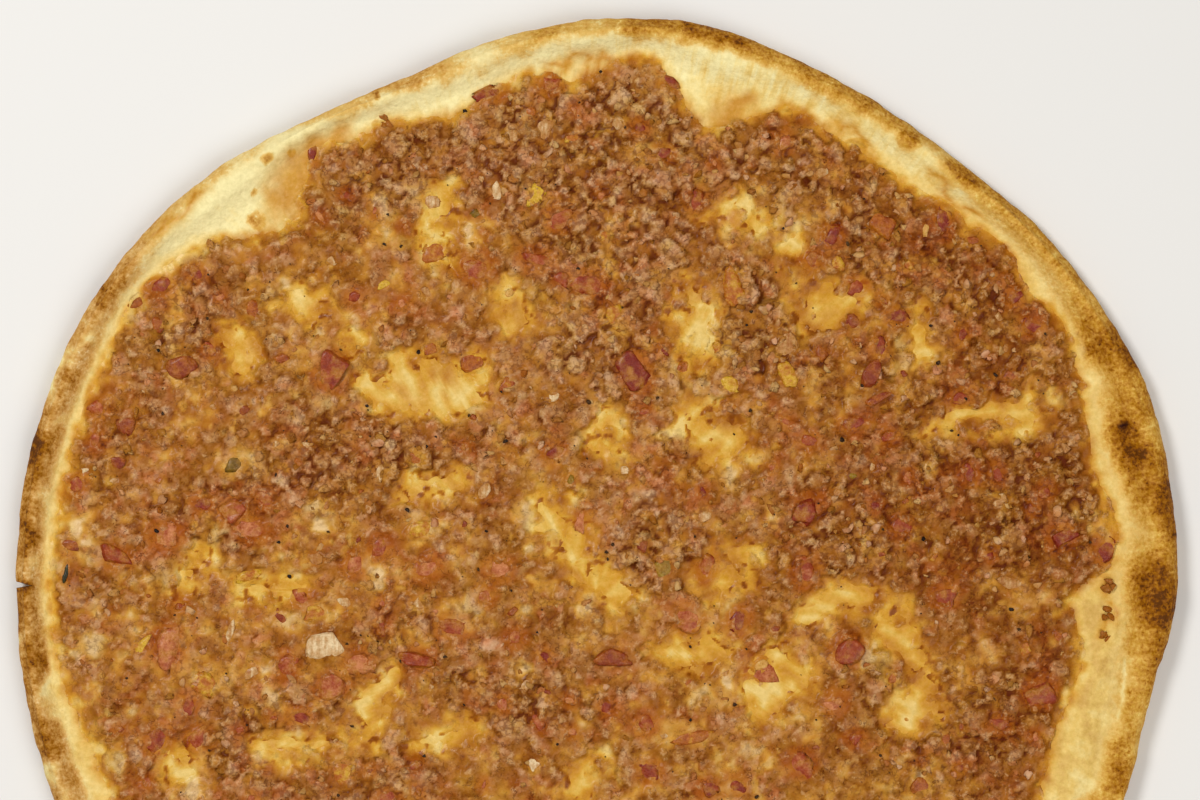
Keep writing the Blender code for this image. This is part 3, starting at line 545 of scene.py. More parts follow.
def grain_group():
    """Small irregular grains: each one's number, how high it stands, and the gaps between them, which the
    meat darkens as painted shade.
    """
    group, given, result = new_group(
        "grain", [("Where", VECTOR, None), ("Spacing", FLOAT, 1.0)],
        [("Number", FLOAT), ("Height", FLOAT), ("Gap", FLOAT)],
    )
    scale = maths(group, "DIVIDE", 1.0, given["Spacing"])
    sway = put(group, "ShaderNodeTexNoise", {"Vector": given["Where"], "Scale": scale, "Detail": 2.0})
    sway = put(group, "ShaderNodeVectorMath", {0: sway.outputs[1], 1: (0.5, 0.5, 0.5)}, operation="SUBTRACT")
    inputs = {0: sway.outputs[0], 1: (1.6, 1.6, 1.6), 2: given["Where"]}
    swayed = put(group, "ShaderNodeVectorMath", inputs, operation="MULTIPLY_ADD").outputs[0]
    cells = put(group, "ShaderNodeTexVoronoi", {"Vector": swayed, "Scale": scale}).outputs
    feed(group, result, {
        "Number": put(group, "ShaderNodeSeparateXYZ", {0: cells["Color"]}).outputs[0],
        "Height": minus(group, 1.0, cells["Distance"]),
        "Gap": spread(group, cells["Distance"], 0.45, 0.75),
    })
    return group


def fat_group():
    """A film of orange fat over a surface: it warms and deepens the colour and makes it shine."""
    group, given, result = new_group(
        "film_of_fat",
        [("Colour", COLOUR, None), ("Film", FLOAT, 0.5),
         ("Warmth", FLOAT, 0.5), ("Dry roughness", FLOAT, 0.7)],
        [("Colour", COLOUR), ("Roughness", FLOAT), ("Coat", FLOAT)],
    )
    fat = shades(
        group, given["Warmth"], (0.0, 241, 208, 128), (0.12, 230, 186, 90), (0.28, 219, 162, 62),
        (0.48, 203, 141, 54), (0.72, 177, 110, 41), (1.0, 141, 78, 23),
    )
    inputs = {0: given["Film"], 1: 0.0, 2: 1.0, 3: given["Dry roughness"], 4: 0.3}
    feed(group, result, {
        "Colour": mixed(group, given["Film"], given["Colour"], fat),
        "Roughness": put(group, "ShaderNodeMapRange", inputs).outputs[0],
        "Coat": times(group, given["Film"], 0.12),
    })
    return group


def crust_group():
    """Browning from pale dough to dark scorch, in fine speckles and streaks across the rim."""
    group, given, result = new_group(
        "browned_crust",
        [("Where", VECTOR, None), ("Along rim", VECTOR, None),
         ("Dough", COLOUR, None), ("Browned", FLOAT, 0.0)],
        [("Colour", COLOUR), ("Height", FLOAT)],
    )
    coarse = wobble(group, given["Where"], 3.6, 3.0, 0.6)
    fine = wobble(group, given["Where"], 0.9, 2.0, 0.6)
    streak = wobble(group, given["Along rim"], 1.5, 2.0, 0.6)
    dots = spread(group, noise(group, given["Where"], 1.3, 2.0, 0.7), 0.56, 0.68, 0.0, 0.2)
    speckle = add(group, times(group, coarse, 0.75), times(group, fine, 0.75))
    speckle = add(group, speckle, times(group, streak, 0.4), dots)
    reach = spread(group, given["Browned"], 0.0, 0.5)
    baked = add(group, given["Browned"], times(group, speckle, reach))
    crust = shades(
        group, baked, (0.0, 250, 228, 160), (0.16, 238, 198, 116), (0.34, 219, 168, 84),
        (0.54, 194, 138, 58), (0.76, 162, 104, 32), (0.94, 126, 76, 18), (1.0, 104, 64, 20),
    )
    height = minus(group, fine, times(group, coarse, 0.6))
    feed(group, result, {
        "Colour": mixed(group, spread(group, baked, 0.0, 0.2), given["Dough"], crust),
        "Height": add(group, height, times(group, streak, reach)),
    })
    return group


MOTTLE = mottle_group()
GRAIN = grain_group()
FAT = fat_group()
CRUST = crust_group()


def new_material(name):
    """A material, its node tree and its Principled shader."""
    material = bpy.data.materials.new(name)
    material.use_nodes = True
    tree = material.node_tree
    return material, tree, tree.nodes["Principled BSDF"]


def bump(tree, shader, height, distance):
    """Relief of a depth in millimetres, on the shader's normal."""
    node = put(tree, "ShaderNodeBump", {"Height": height, "Distance": distance * MM, "Strength": 1.0})
    tree.links.new(node.outputs[0], shader.inputs["Normal"])


def film_of_fat(tree, under, film, warmth, dry_roughness):
    """Fat over a colour: the new colour, its roughness and its coat."""
    inputs = {"Colour": under, "Film": film, "Warmth": warmth, "Dry roughness": dry_roughness}
    return place(tree, FAT, inputs)


def flecked(tree, where, under, spacing, strength):
    """Flecks in a colour: the new colour, and the flecks as relief."""
    inputs = {"Where": where, "Colour": under, "Spacing": spacing, "Strength": strength}
    return place(tree, MOTTLE, inputs)


def bread_material():
    """Pale dough with golden streaks, browned and scorched on the rim, and fat on it near the meat."""
    material, tree, shader = new_material("baked_dough")
    where = millimetres(tree)
    along_rim = put(tree, "ShaderNodeAttribute", attribute_name="along_rim").outputs["Vector"]
    blotch = times(tree, wobble(tree, where, 6.0, 4.0, 0.6), 1.5)
    streak = times(tree, wobble(tree, along_rim, 2.0, 3.0, 0.6), mask(tree, "streaked"))
    golden = add(tree, mask(tree, "golden"), blotch, streak)
    dough = shades(tree, golden, (0.0, 255, 240, 178), (0.35, 252, 229, 156), (0.7, 240, 204, 118),
                   (1.0, 220, 178, 100))
    inputs = {"Where": where, "Along rim": along_rim, "Dough": dough, "Browned": mask(tree, "browned")}
    crust = place(tree, CRUST, inputs)
    side_tint = mixed(tree, mask(tree, "toasty"), (0.96, 0.94, 1.25, 1), (0.98, 0.94, 0.70, 1))
    side_tint = mixed(tree, spread(tree, mask(tree, "browned"), 0.06, 0.4), NO_TINT, side_tint)
    tinted = mixed(tree, 1.0, crust["Colour"], side_tint, "MULTIPLY")
    # Near black at the hole in one blister's top
    tinted = mixed(tree, mask(tree, "dark_hole"), tinted, colour(56, 28, 12))
    film = film_of_fat(tree, tinted, mask(tree, "film"), mask(tree, "warmth"), 0.72)
    feed(tree, shader.inputs, {
        "Base Color": flecked(tree, where, film["Colour"], 1.2, 0.12)["Colour"],
        "Roughness": film["Roughness"],
        "Coat Weight": film["Coat"],
        "Coat Roughness": 0.3,
        "Specular IOR Level": 0.1,
    })
    relief = add(tree, crust["Height"], times(tree, noise(tree, where, 2.2, 3.0), 1.2))
    bump(tree, shader, relief, 0.26)
    return material


def torn_lines(tree, where, spacing, width, strength):
    """Thin winding lines, broken off here and there."""
    fold = maths(tree, "ABSOLUTE", wobble(tree, where, spacing, 3.0, 0.6))
    line = minus(tree, 1.0, spread(tree, fold, 0.0, width))
    kept = spread(tree, noise(tree, where, 0.85 * spacing, 2.0), 0.5, 0.62, 0.0, strength)
    return times(tree, line, kept)


def meat_material():
    """Mince in its several browns, fat over it, painted shade in its pits, gaps and cracks, pale flecks and
    painted highlights on its raised tops, and red round the tomato.
    """
    material, tree, shader = new_material("minced_meat")
    where = millimetres(tree)
    grain = place(tree, GRAIN, {"Where": where, "Spacing": 1.15})
    blotch = wobble(tree, where, 4.0, 1.0, 0.5)
    speck = wobble(tree, where, 0.7, 2.0, 0.6)
    hue = add(tree, mask(tree, "hue"), times(tree, blotch, 1.3))
    by_grain = times(tree, minus(tree, grain["Number"], 0.5), 0.14)
    level = add(tree, mask(tree, "tone"), times(tree, speck, 0.4), by_grain)
    shade = shades(
        tree, level, (0.0, 118, 63, 12), (0.25, 153, 97, 43), (0.5, 177, 121, 70), (0.75, 199, 150, 102),
        (1.0, 222, 182, 140),
    )
    tint = ramp(
        tree, hue, (0.0, (1.0, 0.70, 0.62, 1)), (0.25, (1.0, 0.90, 0.93, 1)), (0.5, (0.95, 0.935, 0.92, 1)),
        (0.75, (0.98, 0.94, 0.62, 1)), (1.0, (0.86, 0.90, 0.66, 1)),
    )
    meat = mixed(tree, 1.0, shade, tint, "MULTIPLY")
    film = film_of_fat(tree, meat, mask(tree, "film"), mask(tree, "warmth"), 0.55)
    pinker = times(tree, mask(tree, "soaked"), spread(tree, mask(tree, "warmth"), 0.3, 0.8, 1.0, 0.3))
    peach = mixed(tree, pinker, NO_TINT, (0.99, 0.945, 1.36, 1))
    soaked = mixed(tree, 1.0, film["Colour"], peach, "MULTIPLY")
    stained = mixed(tree, mask(tree, "stain"), soaked, colour(172, 82, 36))
    # Pale flecks at random, and painted highlights on the raised tops
    pale = spread(tree, add(tree, speck, times(tree, mask(tree, "top_highlight"), 0.3)), 0.2, 0.42)
    pale_and_highlit = mixed(tree, times(tree, pale, 0.4), stained, colour(224, 180, 128))
    crumbly = spread(tree, add(tree, noise(tree, where, 3.0, 2.0), mask(tree, "crumbly")), 0.6, 1.0)
    # Painted shade in the gaps between grains where the meat is crumbly, in the cracks, and in the pits
    gaps = times(tree, times(tree, grain["Gap"], crumbly), 0.5)
    coarse, fine = torn_lines(tree, where, 3.2, 0.02, 0.75), torn_lines(tree, where, 1.7, 0.03, 0.6)
    dry = minus(tree, 1.0, times(tree, mask(tree, "film"), 0.7))
    torn = times(tree, maths(tree, "MAXIMUM", coarse, fine), dry)
    deep = maths(tree, "MAXIMUM", mask(tree, "pit_shade"), maths(tree, "MAXIMUM", gaps, torn))
    dark = mixed(tree, deep, pale_and_highlit, colour(96, 45, 6))
    feed(tree, shader.inputs, {
        "Base Color": flecked(tree, where, dark, 0.5, 0.07)["Colour"],
        "Roughness": film["Roughness"],
        "Coat Weight": film["Coat"],
        "Coat Roughness": 0.2,
        "Specular IOR Level": 0.05,
    })
    relief = add(tree, times(tree, grain["Height"], 0.2), noise(tree, where, 1.3, 3.0, 0.6))
    bump(tree, shader, minus(tree, relief, times(tree, torn, 0.6)), 0.26)
    return material


def flesh_material(name, low, middle, high, roughness, soaked, shine, fibres):
    """Soft cooked vegetable: three shades by piece, blotches within it, and a film of fat."""
    material, tree, shader = new_material(name)
    where = millimetres(tree)
    tone = add(tree, mask(tree, "tone"), times(tree, wobble(tree, where, 2.0, 4.0, 0.6), 1.6))
    if fibres:
        drawn_out = put(tree, "ShaderNodeVectorMath", {0: where, 1: (1.0, 0.12, 0.6)}, operation="MULTIPLY")
        tone = add(tree, tone, times(tree, wobble(tree, drawn_out.outputs[0], 0.8, 2.0), fibres))
    flesh = shades(tree, tone, (0.0, *low), (0.5, *middle), (1.0, *high))
    patchy = times(tree, spread(tree, noise(tree, where, 2.6, 3.0), 0.4, 0.7), soaked)
    film = film_of_fat(tree, flesh, patchy, 0.6, roughness)
    flecks = flecked(tree, where, film["Colour"], 0.6, 0.22)
    feed(tree, shader.inputs, {
        "Base Color": flecks["Colour"],
        "Roughness": film["Roughness"],
        "Coat Weight": shine,
        "Coat Roughness": 0.2,
        "Specular IOR Level": 0.3,
    })
    bump(tree, shader, add(tree, flecks["Height"], noise(tree, where, 1.6, 3.0)), 0.35)
    return material


# The topping's shape


def topping_depth(x, y):
    """Distance inside the topping's outer edge and outside its bare patches, in millimetres."""
    wander_x = x + 1.4 * flat_noise(x, y, 5.0, 21)
    wander_y = y + 1.4 * flat_noise(x, y, 5.0, 25)
    degrees = np.degrees(np.arctan2(wander_y, wander_x))
    edge = around(TOPPING_EDGE, degrees) - np.hypot(wander_x, wander_y)
    edge = edge + 0.6 * flat_noise(x, y, 2.4, 153, 2)
    degrees = np.degrees(np.arctan2(y, x))
    foot = around(BREAD_EDGE, degrees) - INNER_CURVE[-1][0] * around(RIM_WIDTH, degrees)
    edge = np.minimum(edge, foot - RIM_CLEARANCE - np.hypot(x, y) + 0.5 * flat_noise(x, y, 3.0, 27))
    far_away = 99.0
    bare = np.full(x.shape, far_away)
    wander_x = wander_x + 2.9 * flat_noise(x, y, 8.0, 33)
    wander_y = wander_y + 2.9 * flat_noise(x, y, 8.0, 37)
    for patch in BARE_PATCHES:
        near = np.hypot(x - patch[0], y - patch[1]) < patch[2] + PATCH_REACH
        bare[near] = np.minimum(bare[near], oval_distance(wander_x[near], wander_y[near], patch))
    return edge, bare + 2.1 * flat_noise(x, y, 3.2, 39)


def crumbliness(x, y):
    """1 where the meat is dry and crumbly, 0 where it is soaked and smooth."""
    total = 0.36 + 0.3 * flat_noise(x, y, 22.0, 41) + 0.2 * flat_noise(x, y, 6.0, 45)
    for middle_x, middle_y, half_width, half_height in CRUMBLY_PLACES:
        reach = ((x - middle_x) / half_width) ** 2 + ((y - middle_y) / half_height) ** 2
        total = total + 0.75 * np.exp(-reach)
    return np.clip(total, 0, 1)


# Warmth of the fat: (depths inside the edge of a patch or of the topping, in millimetres), (warmth there)
WARMTH_BY_PATCH = (-6.0, -2.0, 0.0, 2.0, 5.0, 9.0, 14.0), (0.08, 0.22, 0.33, 0.45, 0.59, 0.72, 0.81)
WARMTH_BY_EDGE = (-6.0, -2.5, -1.0, 1.5, 5.0), (0.02, 0.14, 0.36, 0.56, 0.85)


def fat_warmth(x, y, edge, bare):
    """How orange and how brown the fat on the bread and the meat is, from 0 to 1."""
    by_patch = np.interp(bare, *WARMTH_BY_PATCH)
    by_edge = np.interp(edge, *WARMTH_BY_EDGE)
    wander = 0.23 * flat_noise(x, y, 7.0, 71) + 0.28 * flat_noise(x, y, 2.8, 75, 2)
    paler = 0.15 * step(-x, 10, 80) * (1 - step(edge, 0.5, 5.0))
    return np.clip(np.minimum(by_patch, by_edge) + wander - paler, 0, 1)


def pile_chunks(x, y, bed, dry, clear, firm):
    """Chunks of meat thrown on the bed: height of the highest at each point, and its tone and hue."""
    draw = np.random.default_rng(301)
    side = len(x)
    steps = x[:, 0]
    sway = [0.68 * flat_noise(x, y, 1.6, seed, 2) for seed in (311, 315)]
    found = []
    tones, hues = [np.full(1, 0.4)], [np.full(1, 0.5)]
    for count, shortest, longest, drop in CHUNK_KINDS:
        at = np.stack(scattered(draw, steps[-1], count))
        i, j = np.clip(np.rint((at - steps[0]) / MEAT_GRID).astype(int), 0, side - 1)
        kept = draw.random(count) < clear[i, j] ** 0.8 + (0.035 if longest > 3 else 0.26)
        at, i, j = at[:, kept], i[kept], j[kept]
        count = len(i)
        length = shortest + (longest - shortest) * draw.random(count) ** 1.6
        width = length * draw.uniform(0.5, 0.95, count)
        lively = (0.38 + 0.5 * dry[i, j]) * firm[i, j]
        level = np.maximum(bed[i, j], 0) + lively * (draw.random(count) * 1.5 - 1.0 + 0.07 * longest)
        face = draw.uniform(0, np.pi, count)
        fullness = draw.uniform(2.0, 4.5, count)
        tips = draw.uniform(-0.3, 0.3, (2, count))
        far = math.ceil(0.65 * longest / MEAT_GRID)
        di, dj = (d.ravel() for d in np.meshgrid(*[np.arange(-far, far + 1)] * 2, indexing="ij"))
        pi = np.clip(i[:, None] + di, 0, side - 1)
        pj = np.clip(j[:, None] + dj, 0, side - 1)
        u = steps[pi] - at[0][:, None] + sway[0][pi, pj]
        v = steps[pj] - at[1][:, None] + sway[1][pi, pj]
        c, s = np.cos(face)[:, None], np.sin(face)[:, None]
        along = np.abs(u * c + v * s) * 2 / length[:, None]
        across = np.abs(v * c - u * s) * 2 / width[:, None]
        p = fullness[:, None]
        out = (along**p + across**p) ** (1 / p)
        inside = out < 1
        rounding = drop * firm[i, j][:, None] * (1 - np.sqrt(np.clip(1 - out**2.5, 0, 1)))
        height = level[:, None] + tips[0][:, None] * u + tips[1][:, None] * v - rounding
        number = np.arange(count)[:, None] + sum(len(t) for t in tones)
        number = np.broadcast_to(number, out.shape)
        found.append((height[inside], (pi * side + pj)[inside], number[inside]))
        tones.append(draw.random(count))
        hues.append(0.4 + (draw.random(count) - 0.4) * min(1.0, longest / 6))
    height, place_at, number = (np.concatenate([part[k] for part in found]) for k in range(3))
    order = np.argsort(height, kind="stable")
    nothing_there = -9.0
    top = np.full(side * side, nothing_there)
    owner = np.zeros(side * side, int)
    top[place_at[order]] = height[order]
    owner[place_at[order]] = number[order]
    owner = owner.reshape(side, side)
    return top.reshape(side, side), np.concatenate(tones)[owner], np.concatenate(hues)[owner]


def blurred(values, reach):
    """Average over a square round each grid point, taken twice."""
    n = max(1, round(reach / MEAT_GRID))
    for axis in (0, 1, 0, 1):
        line = np.moveaxis(values, axis, 0)
        total = np.cumsum(np.pad(line, ((n + 1, n), (0, 0)), mode="edge"), axis=0)
        values = np.moveaxis((total[2 * n + 1:] - total[:-2 * n - 1]) / (2 * n + 1), 0, axis)
    return values


def topping_surface(x, y):
    """The meat's thickness above its bed at each point, and the masks of its looks."""
    edge, bare = topping_depth(x, y)
    dry = crumbliness(x, y)
    full = MEAT_THICKNESS + LAYER_GAP
    by_edge = full * step(edge, -1.2, 3.6) - LAYER_GAP + 0.25 * np.minimum(edge + 1.2, 0)
    by_patch = full * step(bare, -1.0, 7.0) - LAYER_GAP + 0.2 * np.minimum(bare + 1.0, 0)
    bed = np.minimum(by_edge, by_patch)
    swell = 0.35 * flat_noise(x, y, 9.0, 61)
    clumps = 0.42 * dry * flat_noise(x, y, 4.6, 161, 2)
    bed = bed + (swell + clumps) * np.clip(bed, 0, 1)
    clear = step(np.minimum(edge + 1.0, bare + 0.5), 0.0, 4.5)
    firm = 0.35 + 0.65 * np.minimum(step(edge, -1.0, 1.6), step(bare, 0.5, 6.5))
    chunks, chunk_tone, chunk_hue = pile_chunks(x, y, bed, dry, clear, firm)
    juice = bed - (0.34 + 0.6 * dry) * step(bed, -0.1, 1.3)
    ripple = 0.12 * flat_noise(x, y, 1.7, 63) + 0.1 * flat_noise(x, y, 4.0, 65)
    juice = juice + ripple * np.clip(bed + 0.5, 0, 1)
    shown = np.maximum(chunks, juice - 0.5)
    softened = 0.45 * shown + 0.55 * blurred(shown, MEAT_GRID)
    thickness = juice + np.logaddexp(0, (softened - juice) * 5) / 5
    ragged = 0.6 * flat_noise(x, y, 1.9, 163, 2)
    thickness = np.minimum(thickness, 1.35 * (edge + 1.3 + ragged) - LAYER_GAP)
    covered = step(softened - juice, -0.15, 0.35)
    return thickness, meat_looks(x, y, thickness, edge, bare, dry, clear, covered, chunk_tone, chunk_hue)


def meat_looks(x, y, thickness, edge, bare, dry, clear, covered, chunk_tone, chunk_hue):
    """Masks of the meat: its tone and hue, with painted shade in its pits and hollows and painted light on
    its raised tops, the fat on it, and its crumbs.
    """
    # How far each point lies below the meat round it, near and wider. Low places get painted shade, raised
    # tops painted light and painted highlights
    pit = blurred(thickness, 1.0) - thickness
    hollow = blurred(thickness, 2.6) - thickness
    spots = step(flat_noise(x, y, 5.0, 77) + 0.6 * dry, -0.25, 0.45)
    # Painted shade in the pits, here and there, most where the meat is dry
    pit_shade = step(pit, 0.13, 0.42) * spots * (0.48 + 0.42 * dry) * step(clear, 0.6, 1.0)
    # Towards the right the meat gets painted shade, darker as the light falls off, and its fat is a little
    # thinner and warmer
    to_right = step(x, 20, 100)
    # The pit and hollow terms paint shade into the low places and light onto the raised tops
    tone = 0.24 + 0.46 * chunk_tone - 0.42 * np.clip(pit, -0.35, 0.4) - 0.16 * np.clip(hollow, -0.6, 0.6)
    tone = tone + 0.16 * flat_noise(x, y, 5.5, 89) * (1 - 0.5 * dry) - 0.03 + 0.06 * dry - 0.17 * to_right
    hue = 0.14 + 0.5 * chunk_hue + 0.3 * flat_noise(x, y, 9.0, 87)
    # Fat lies near the patches and the edge, in blotches, and in the low places
    tint = np.minimum(bare, 9 * (0.5 - flat_noise(x, y, 7.0, 31)) + 4 * dry)
    near = 1 - step(np.minimum(tint, edge + 1.5) + 1.1 * flat_noise(x, y, 3.0, 79), -0.5, 7.0)
    blotches = flat_noise(x, y, 3.8, 83, 2)
    cream = 0.8 * step(flat_noise(x, y, 3.0, 141), 0.55, 0.9) * (1 - 0.8 * dry)
    low = 1 - step(thickness + LAYER_GAP, 0.1, 0.9)
    standing = covered * step(thickness + LAYER_GAP, 0.2, 0.8)
    film = 0.2 - 0.08 * to_right + 0.25 * (1 - covered) + 0.66 * blotches - 0.2 * dry
    film = np.maximum(np.maximum(film, near * (1 - 0.3 * standing)), np.maximum(low, 0.9 * cream))
    # The edge is baked crisp and dark here and there
    crisp = (1 - step(edge, 1.0, 5.0)) * step(flat_noise(x, y, 5.0, 147), -0.1, 0.5) * covered
    tone = tone - 0.26 * crisp
    film = film * (1 - 0.6 * crisp)
    at_floor = 1 - step(bare, 0.0, 3.0)
    warmth = fat_warmth(x, y, edge, np.where(at_floor > 0, bare * at_floor + tint * (1 - at_floor), tint))
    warmth = warmth - 0.25 * np.clip(blotches, 0, 1) * (1 - dry) * (1 - at_floor)
    warmth = warmth * (1 - cream * (1 - at_floor)) + 0.06 * cream * (1 - at_floor)
    warmth = warmth + 0.1 * to_right + 0.6 * at_floor * step(flat_noise(x, y, 1.7, 151, 2), 0.45, 0.8)
    film = np.clip(film, 0, 1)
    return {
        "tone": tone, "film": film, "warmth": np.clip(warmth, 0, 1),
        "pit_shade": np.clip(pit_shade, 0, 0.82), "hue": hue, "stain": np.zeros(x.shape),
        "top_highlight": np.clip(-pit / 0.3, 0, 1), "crumbly": 0.12 + 0.4 * dry * clear * covered,
        "soaked": (1 - at_floor) * film * step(edge, 0.5, 4.0),
    }


# Bread


def profile_points(degrees, samples):
    """Smooth section of the rim at each direction, from the underside over the crown to the floor."""
    edge = around(BREAD_EDGE, degrees)
    width = around(RIM_WIDTH, degrees)
    crown = around(CROWN_HEIGHT, degrees)
    radii = [edge - inward for inward, _ in OUTER_CURVE]
    radii += [edge - share * width for share, _ in INNER_CURVE]
    rise = crown - FLOOR_THICKNESS
    heights = [share * crown for _, share in OUTER_CURVE]
    heights += [FLOOR_THICKNESS + up * rise for _, up in INNER_CURVE]
    knots = np.stack((np.array(radii), np.array(heights)))
    before = 2 * knots[:, :1] - knots[:, 1:2]
    after = 2 * knots[:, -1:] - knots[:, -2:-1]
    knots = np.concatenate((before, knots, after), axis=1)
    at = np.linspace(0, len(radii) - 1, samples)
    i = np.minimum(at.astype(int), len(radii) - 2)
    u = (at - i)[None, :, None]
    p0, p1, p2, p3 = (knots[:, i + k] for k in range(4))
    curve = 0.5 * (
        2 * p1 + (p2 - p0) * u + (2 * p0 - 5 * p1 + 4 * p2 - p3) * u**2 + (3 * p1 - p0 - 3 * p2 + p3) * u**3
    )
    return curve[0], curve[1]


def joined_rings(counts):
    """Faces between rings of points, where a ring may have as many, half or twice as many as the last.

    The first ring is closed round the last point of all, and the last ring round the point before it.
    """
    starts = np.concatenate(([0], np.cumsum(counts)[:-1]))
    quads, triangles = [], []
    for k in range(len(counts) - 1):
        n, m = counts[k], counts[k + 1]
        low, high = starts[k], starts[k + 1]
        if n == m:
            i = np.arange(n)
            j = (i + 1) % n
            quads.append(np.stack((low + i, low + j, high + j, high + i), axis=1))
            continue
        fine, coarse, flip = (low, high, False) if n > m else (high, low, True)
        i = np.arange(min(n, m))
        j = (i + 1) % min(n, m)
        a, b, c = fine + 2 * i, fine + 2 * i + 1, fine + (2 * i + 2) % max(n, m)
        d, e = coarse + i, coarse + j
        for corners in ((a, b, d), (b, e, d), (b, c, e)):
            triangles.append(np.stack(corners[::-1] if flip else corners, axis=1))
    last = starts[-1] + counts[-1]
    for pole, ring, count in ((last, starts[-1], counts[-1]), (last + 1, 0, counts[0])):
        i = np.arange(count)
        j = (i + 1) % count
        fan = (ring + i, ring + j, np.full(count, pole))
        triangles.append(np.stack(fan if ring else fan[::-1], axis=1))
    return [np.concatenate(quads), np.concatenate(triangles)]


def rim_directions(count):
    """Directions round the rim, closer together at the crack."""
    fine = np.linspace(0, 360, 7201)
    density = 1 + 9 * hump(fine, CRACK[0], 0.9)
    total = np.concatenate(([0], np.cumsum((density[1:] + density[:-1]) / 2)))
    return np.interp(np.arange(count) / count * total[-1], total, fine)


def flat_rings(bands, directions, radius, height):
    """Rings across a flat face, with fewer points towards its middle."""
    return [
        (directions[::thinning], reach * radius[::thinning], np.full(len(directions) // thinning, height))
        for reaches, thinning in bands
        for reach in reaches
    ]


def make_bread(material):
    """The bread as one closed mesh of rings: up the underside, over the rim, and in across the floor."""
    directions = rim_directions(SECTORS)
    radii, heights = profile_points(directions, RIM_SAMPLES)
    rings = flat_rings(UNDERSIDE_RINGS, directions, radii[0], 0.0)
    rings += [(directions, radii[k], heights[k]) for k in range(RIM_SAMPLES)]
    rings += flat_rings(FLOOR_RINGS, directions, radii[-1], FLOOR_THICKNESS)
    faces = joined_rings([len(ring[0]) for ring in rings])
    degrees, radius, height = (np.concatenate([ring[k] for ring in rings]) for k in range(3))
    degrees = np.concatenate((degrees, (0, 0)))
    radius = np.concatenate((radius, (0, 0)))
    height = np.concatenate((height, (FLOOR_THICKNESS, 0)))
    edge = around(BREAD_EDGE, degrees)
    width = around(RIM_WIDTH, degrees)
    from_crack = np.abs((degrees - CRACK[0]) * np.pi / 180 * edge)
    ragged = 0.25 * soft_noise(radius, height, 0, 1.2, 5)
    notch = edge - CRACK[1] * np.clip(1 - from_crack / (CRACK[2] / 2 + ragged), 0, 1)
    radius = np.minimum(radius, notch)
    inward = edge - radius
    turn = np.radians(degrees)
    x, y = radius * np.cos(turn), radius * np.sin(turn)
    lifted = step(height, 0.3, 2.5)
    on_rim = lifted * step(width * 1.25 - inward, 0, 3)
    bumps = 0.42 * rough_noise(x, y, height, 9.0, 91) + 0.13 * rough_noise(x, y, height, 2.4, 95)
    for middle_x, middle_y, size, rise in BLISTERS:
        bumps = bumps + rise * np.exp(-((x - middle_x) ** 2 + (y - middle_y) ** 2) / size**2)
    wrinkled = np.zeros(len(x))
    for wrinkle in WRINKLES:
        far = oval_distance(x + 0.6 * flat_noise(x, y, 3.0, 98, 1), y, wrinkle)
        wrinkled = np.maximum(wrinkled, 1 - step(far, -wrinkle[3], wrinkle[3]))
    low_relief = 0.10 * flat_noise(x, y, 5.0, 97)
    height = height + lifted * (on_rim * bumps + (1 - on_rim) * low_relief + 0.3 * wrinkled)
    shift = 0.3 * np.clip(1 - inward / 3, 0, 1) * on_rim * rough_noise(x, y, height, 5.0, 99)
    points = np.stack((x + shift * np.cos(turn), y + shift * np.sin(turn), height), axis=1)
    looks = bread_looks(x, y, height, degrees, inward, width)
    baked_tear = 0.2 * hump(from_crack, 0, 1.7) * (1 - step(inward, 3, 8))
    looks["browned"] = np.clip(looks["browned"] * (1 - 0.6 * wrinkled) + baked_tear, 0, 0.95)
    looks["golden"] = looks["golden"] - 0.4 * wrinkled
    looks["along_rim"] = np.stack((140 * np.cos(turn), 140 * np.sin(turn), 0.14 * inward), axis=1)
    off_floor = lifted * (1 - step(inward, 0.8 * width, 1.5 * width))
    looks["streaked"] = (0.35 + 2.0 * hump(degrees, 86, 32)) * off_floor
    make_piece("flatbread", points, faces, material, "baked_bread", "bread", **looks)


def browning(x, y, degrees, inward, width):
    """How browned the upper side is, from 0 on pale dough."""
    band = around(BROWNING, degrees, 1)
    strength = around(BROWNING, degrees, 2)
    wander = flat_noise(x, y, 8.0, 101)
    browned = strength * (1 - step(inward + 2.2 * wander, 0.15 * band, 1.3 * band)) * 1.12
    on_left = step(-np.cos(np.radians(degrees)), 0.6, 0.85)
    patchy = 0.45 * flat_noise(x, y, 12.0, 105) + 0.62 * on_left * flat_noise(x, y, 5.0, 109)
    browned = browned * (0.85 + patchy)
    crease = on_left * hump(inward, 1.12 * width, 0.2 * width)
    browned = browned * (1 - 0.85 * crease)
    for middle_x, middle_y, length, across, more in SCORCHES:
        turn = np.degrees(np.arctan2(middle_y, middle_x)) + 90
        far = oval_distance(x + 1.5 * wander, y - 1.5 * wander, (middle_x, middle_y, length, across, turn))
        browned = browned + more * (1 - step(far, -0.6 * across, 0.6 * across))
    for middle_x, middle_y, length, across, turn, more in BROWN_SPOTS:
        near = np.hypot(x - middle_x, y - middle_y) < 12
        spot = (middle_x, middle_y, length, across, turn)
        far = oval_distance(x[near] + 0.5 * wander[near], y[near] - 0.5 * wander[near], spot)
        far = far + 0.45 * across * flat_noise(x[near], y[near], 2.0, 113, 2)
        browned[near] += more * (1 - step(far, -0.7 * across, 0.6 * across))
    return browned


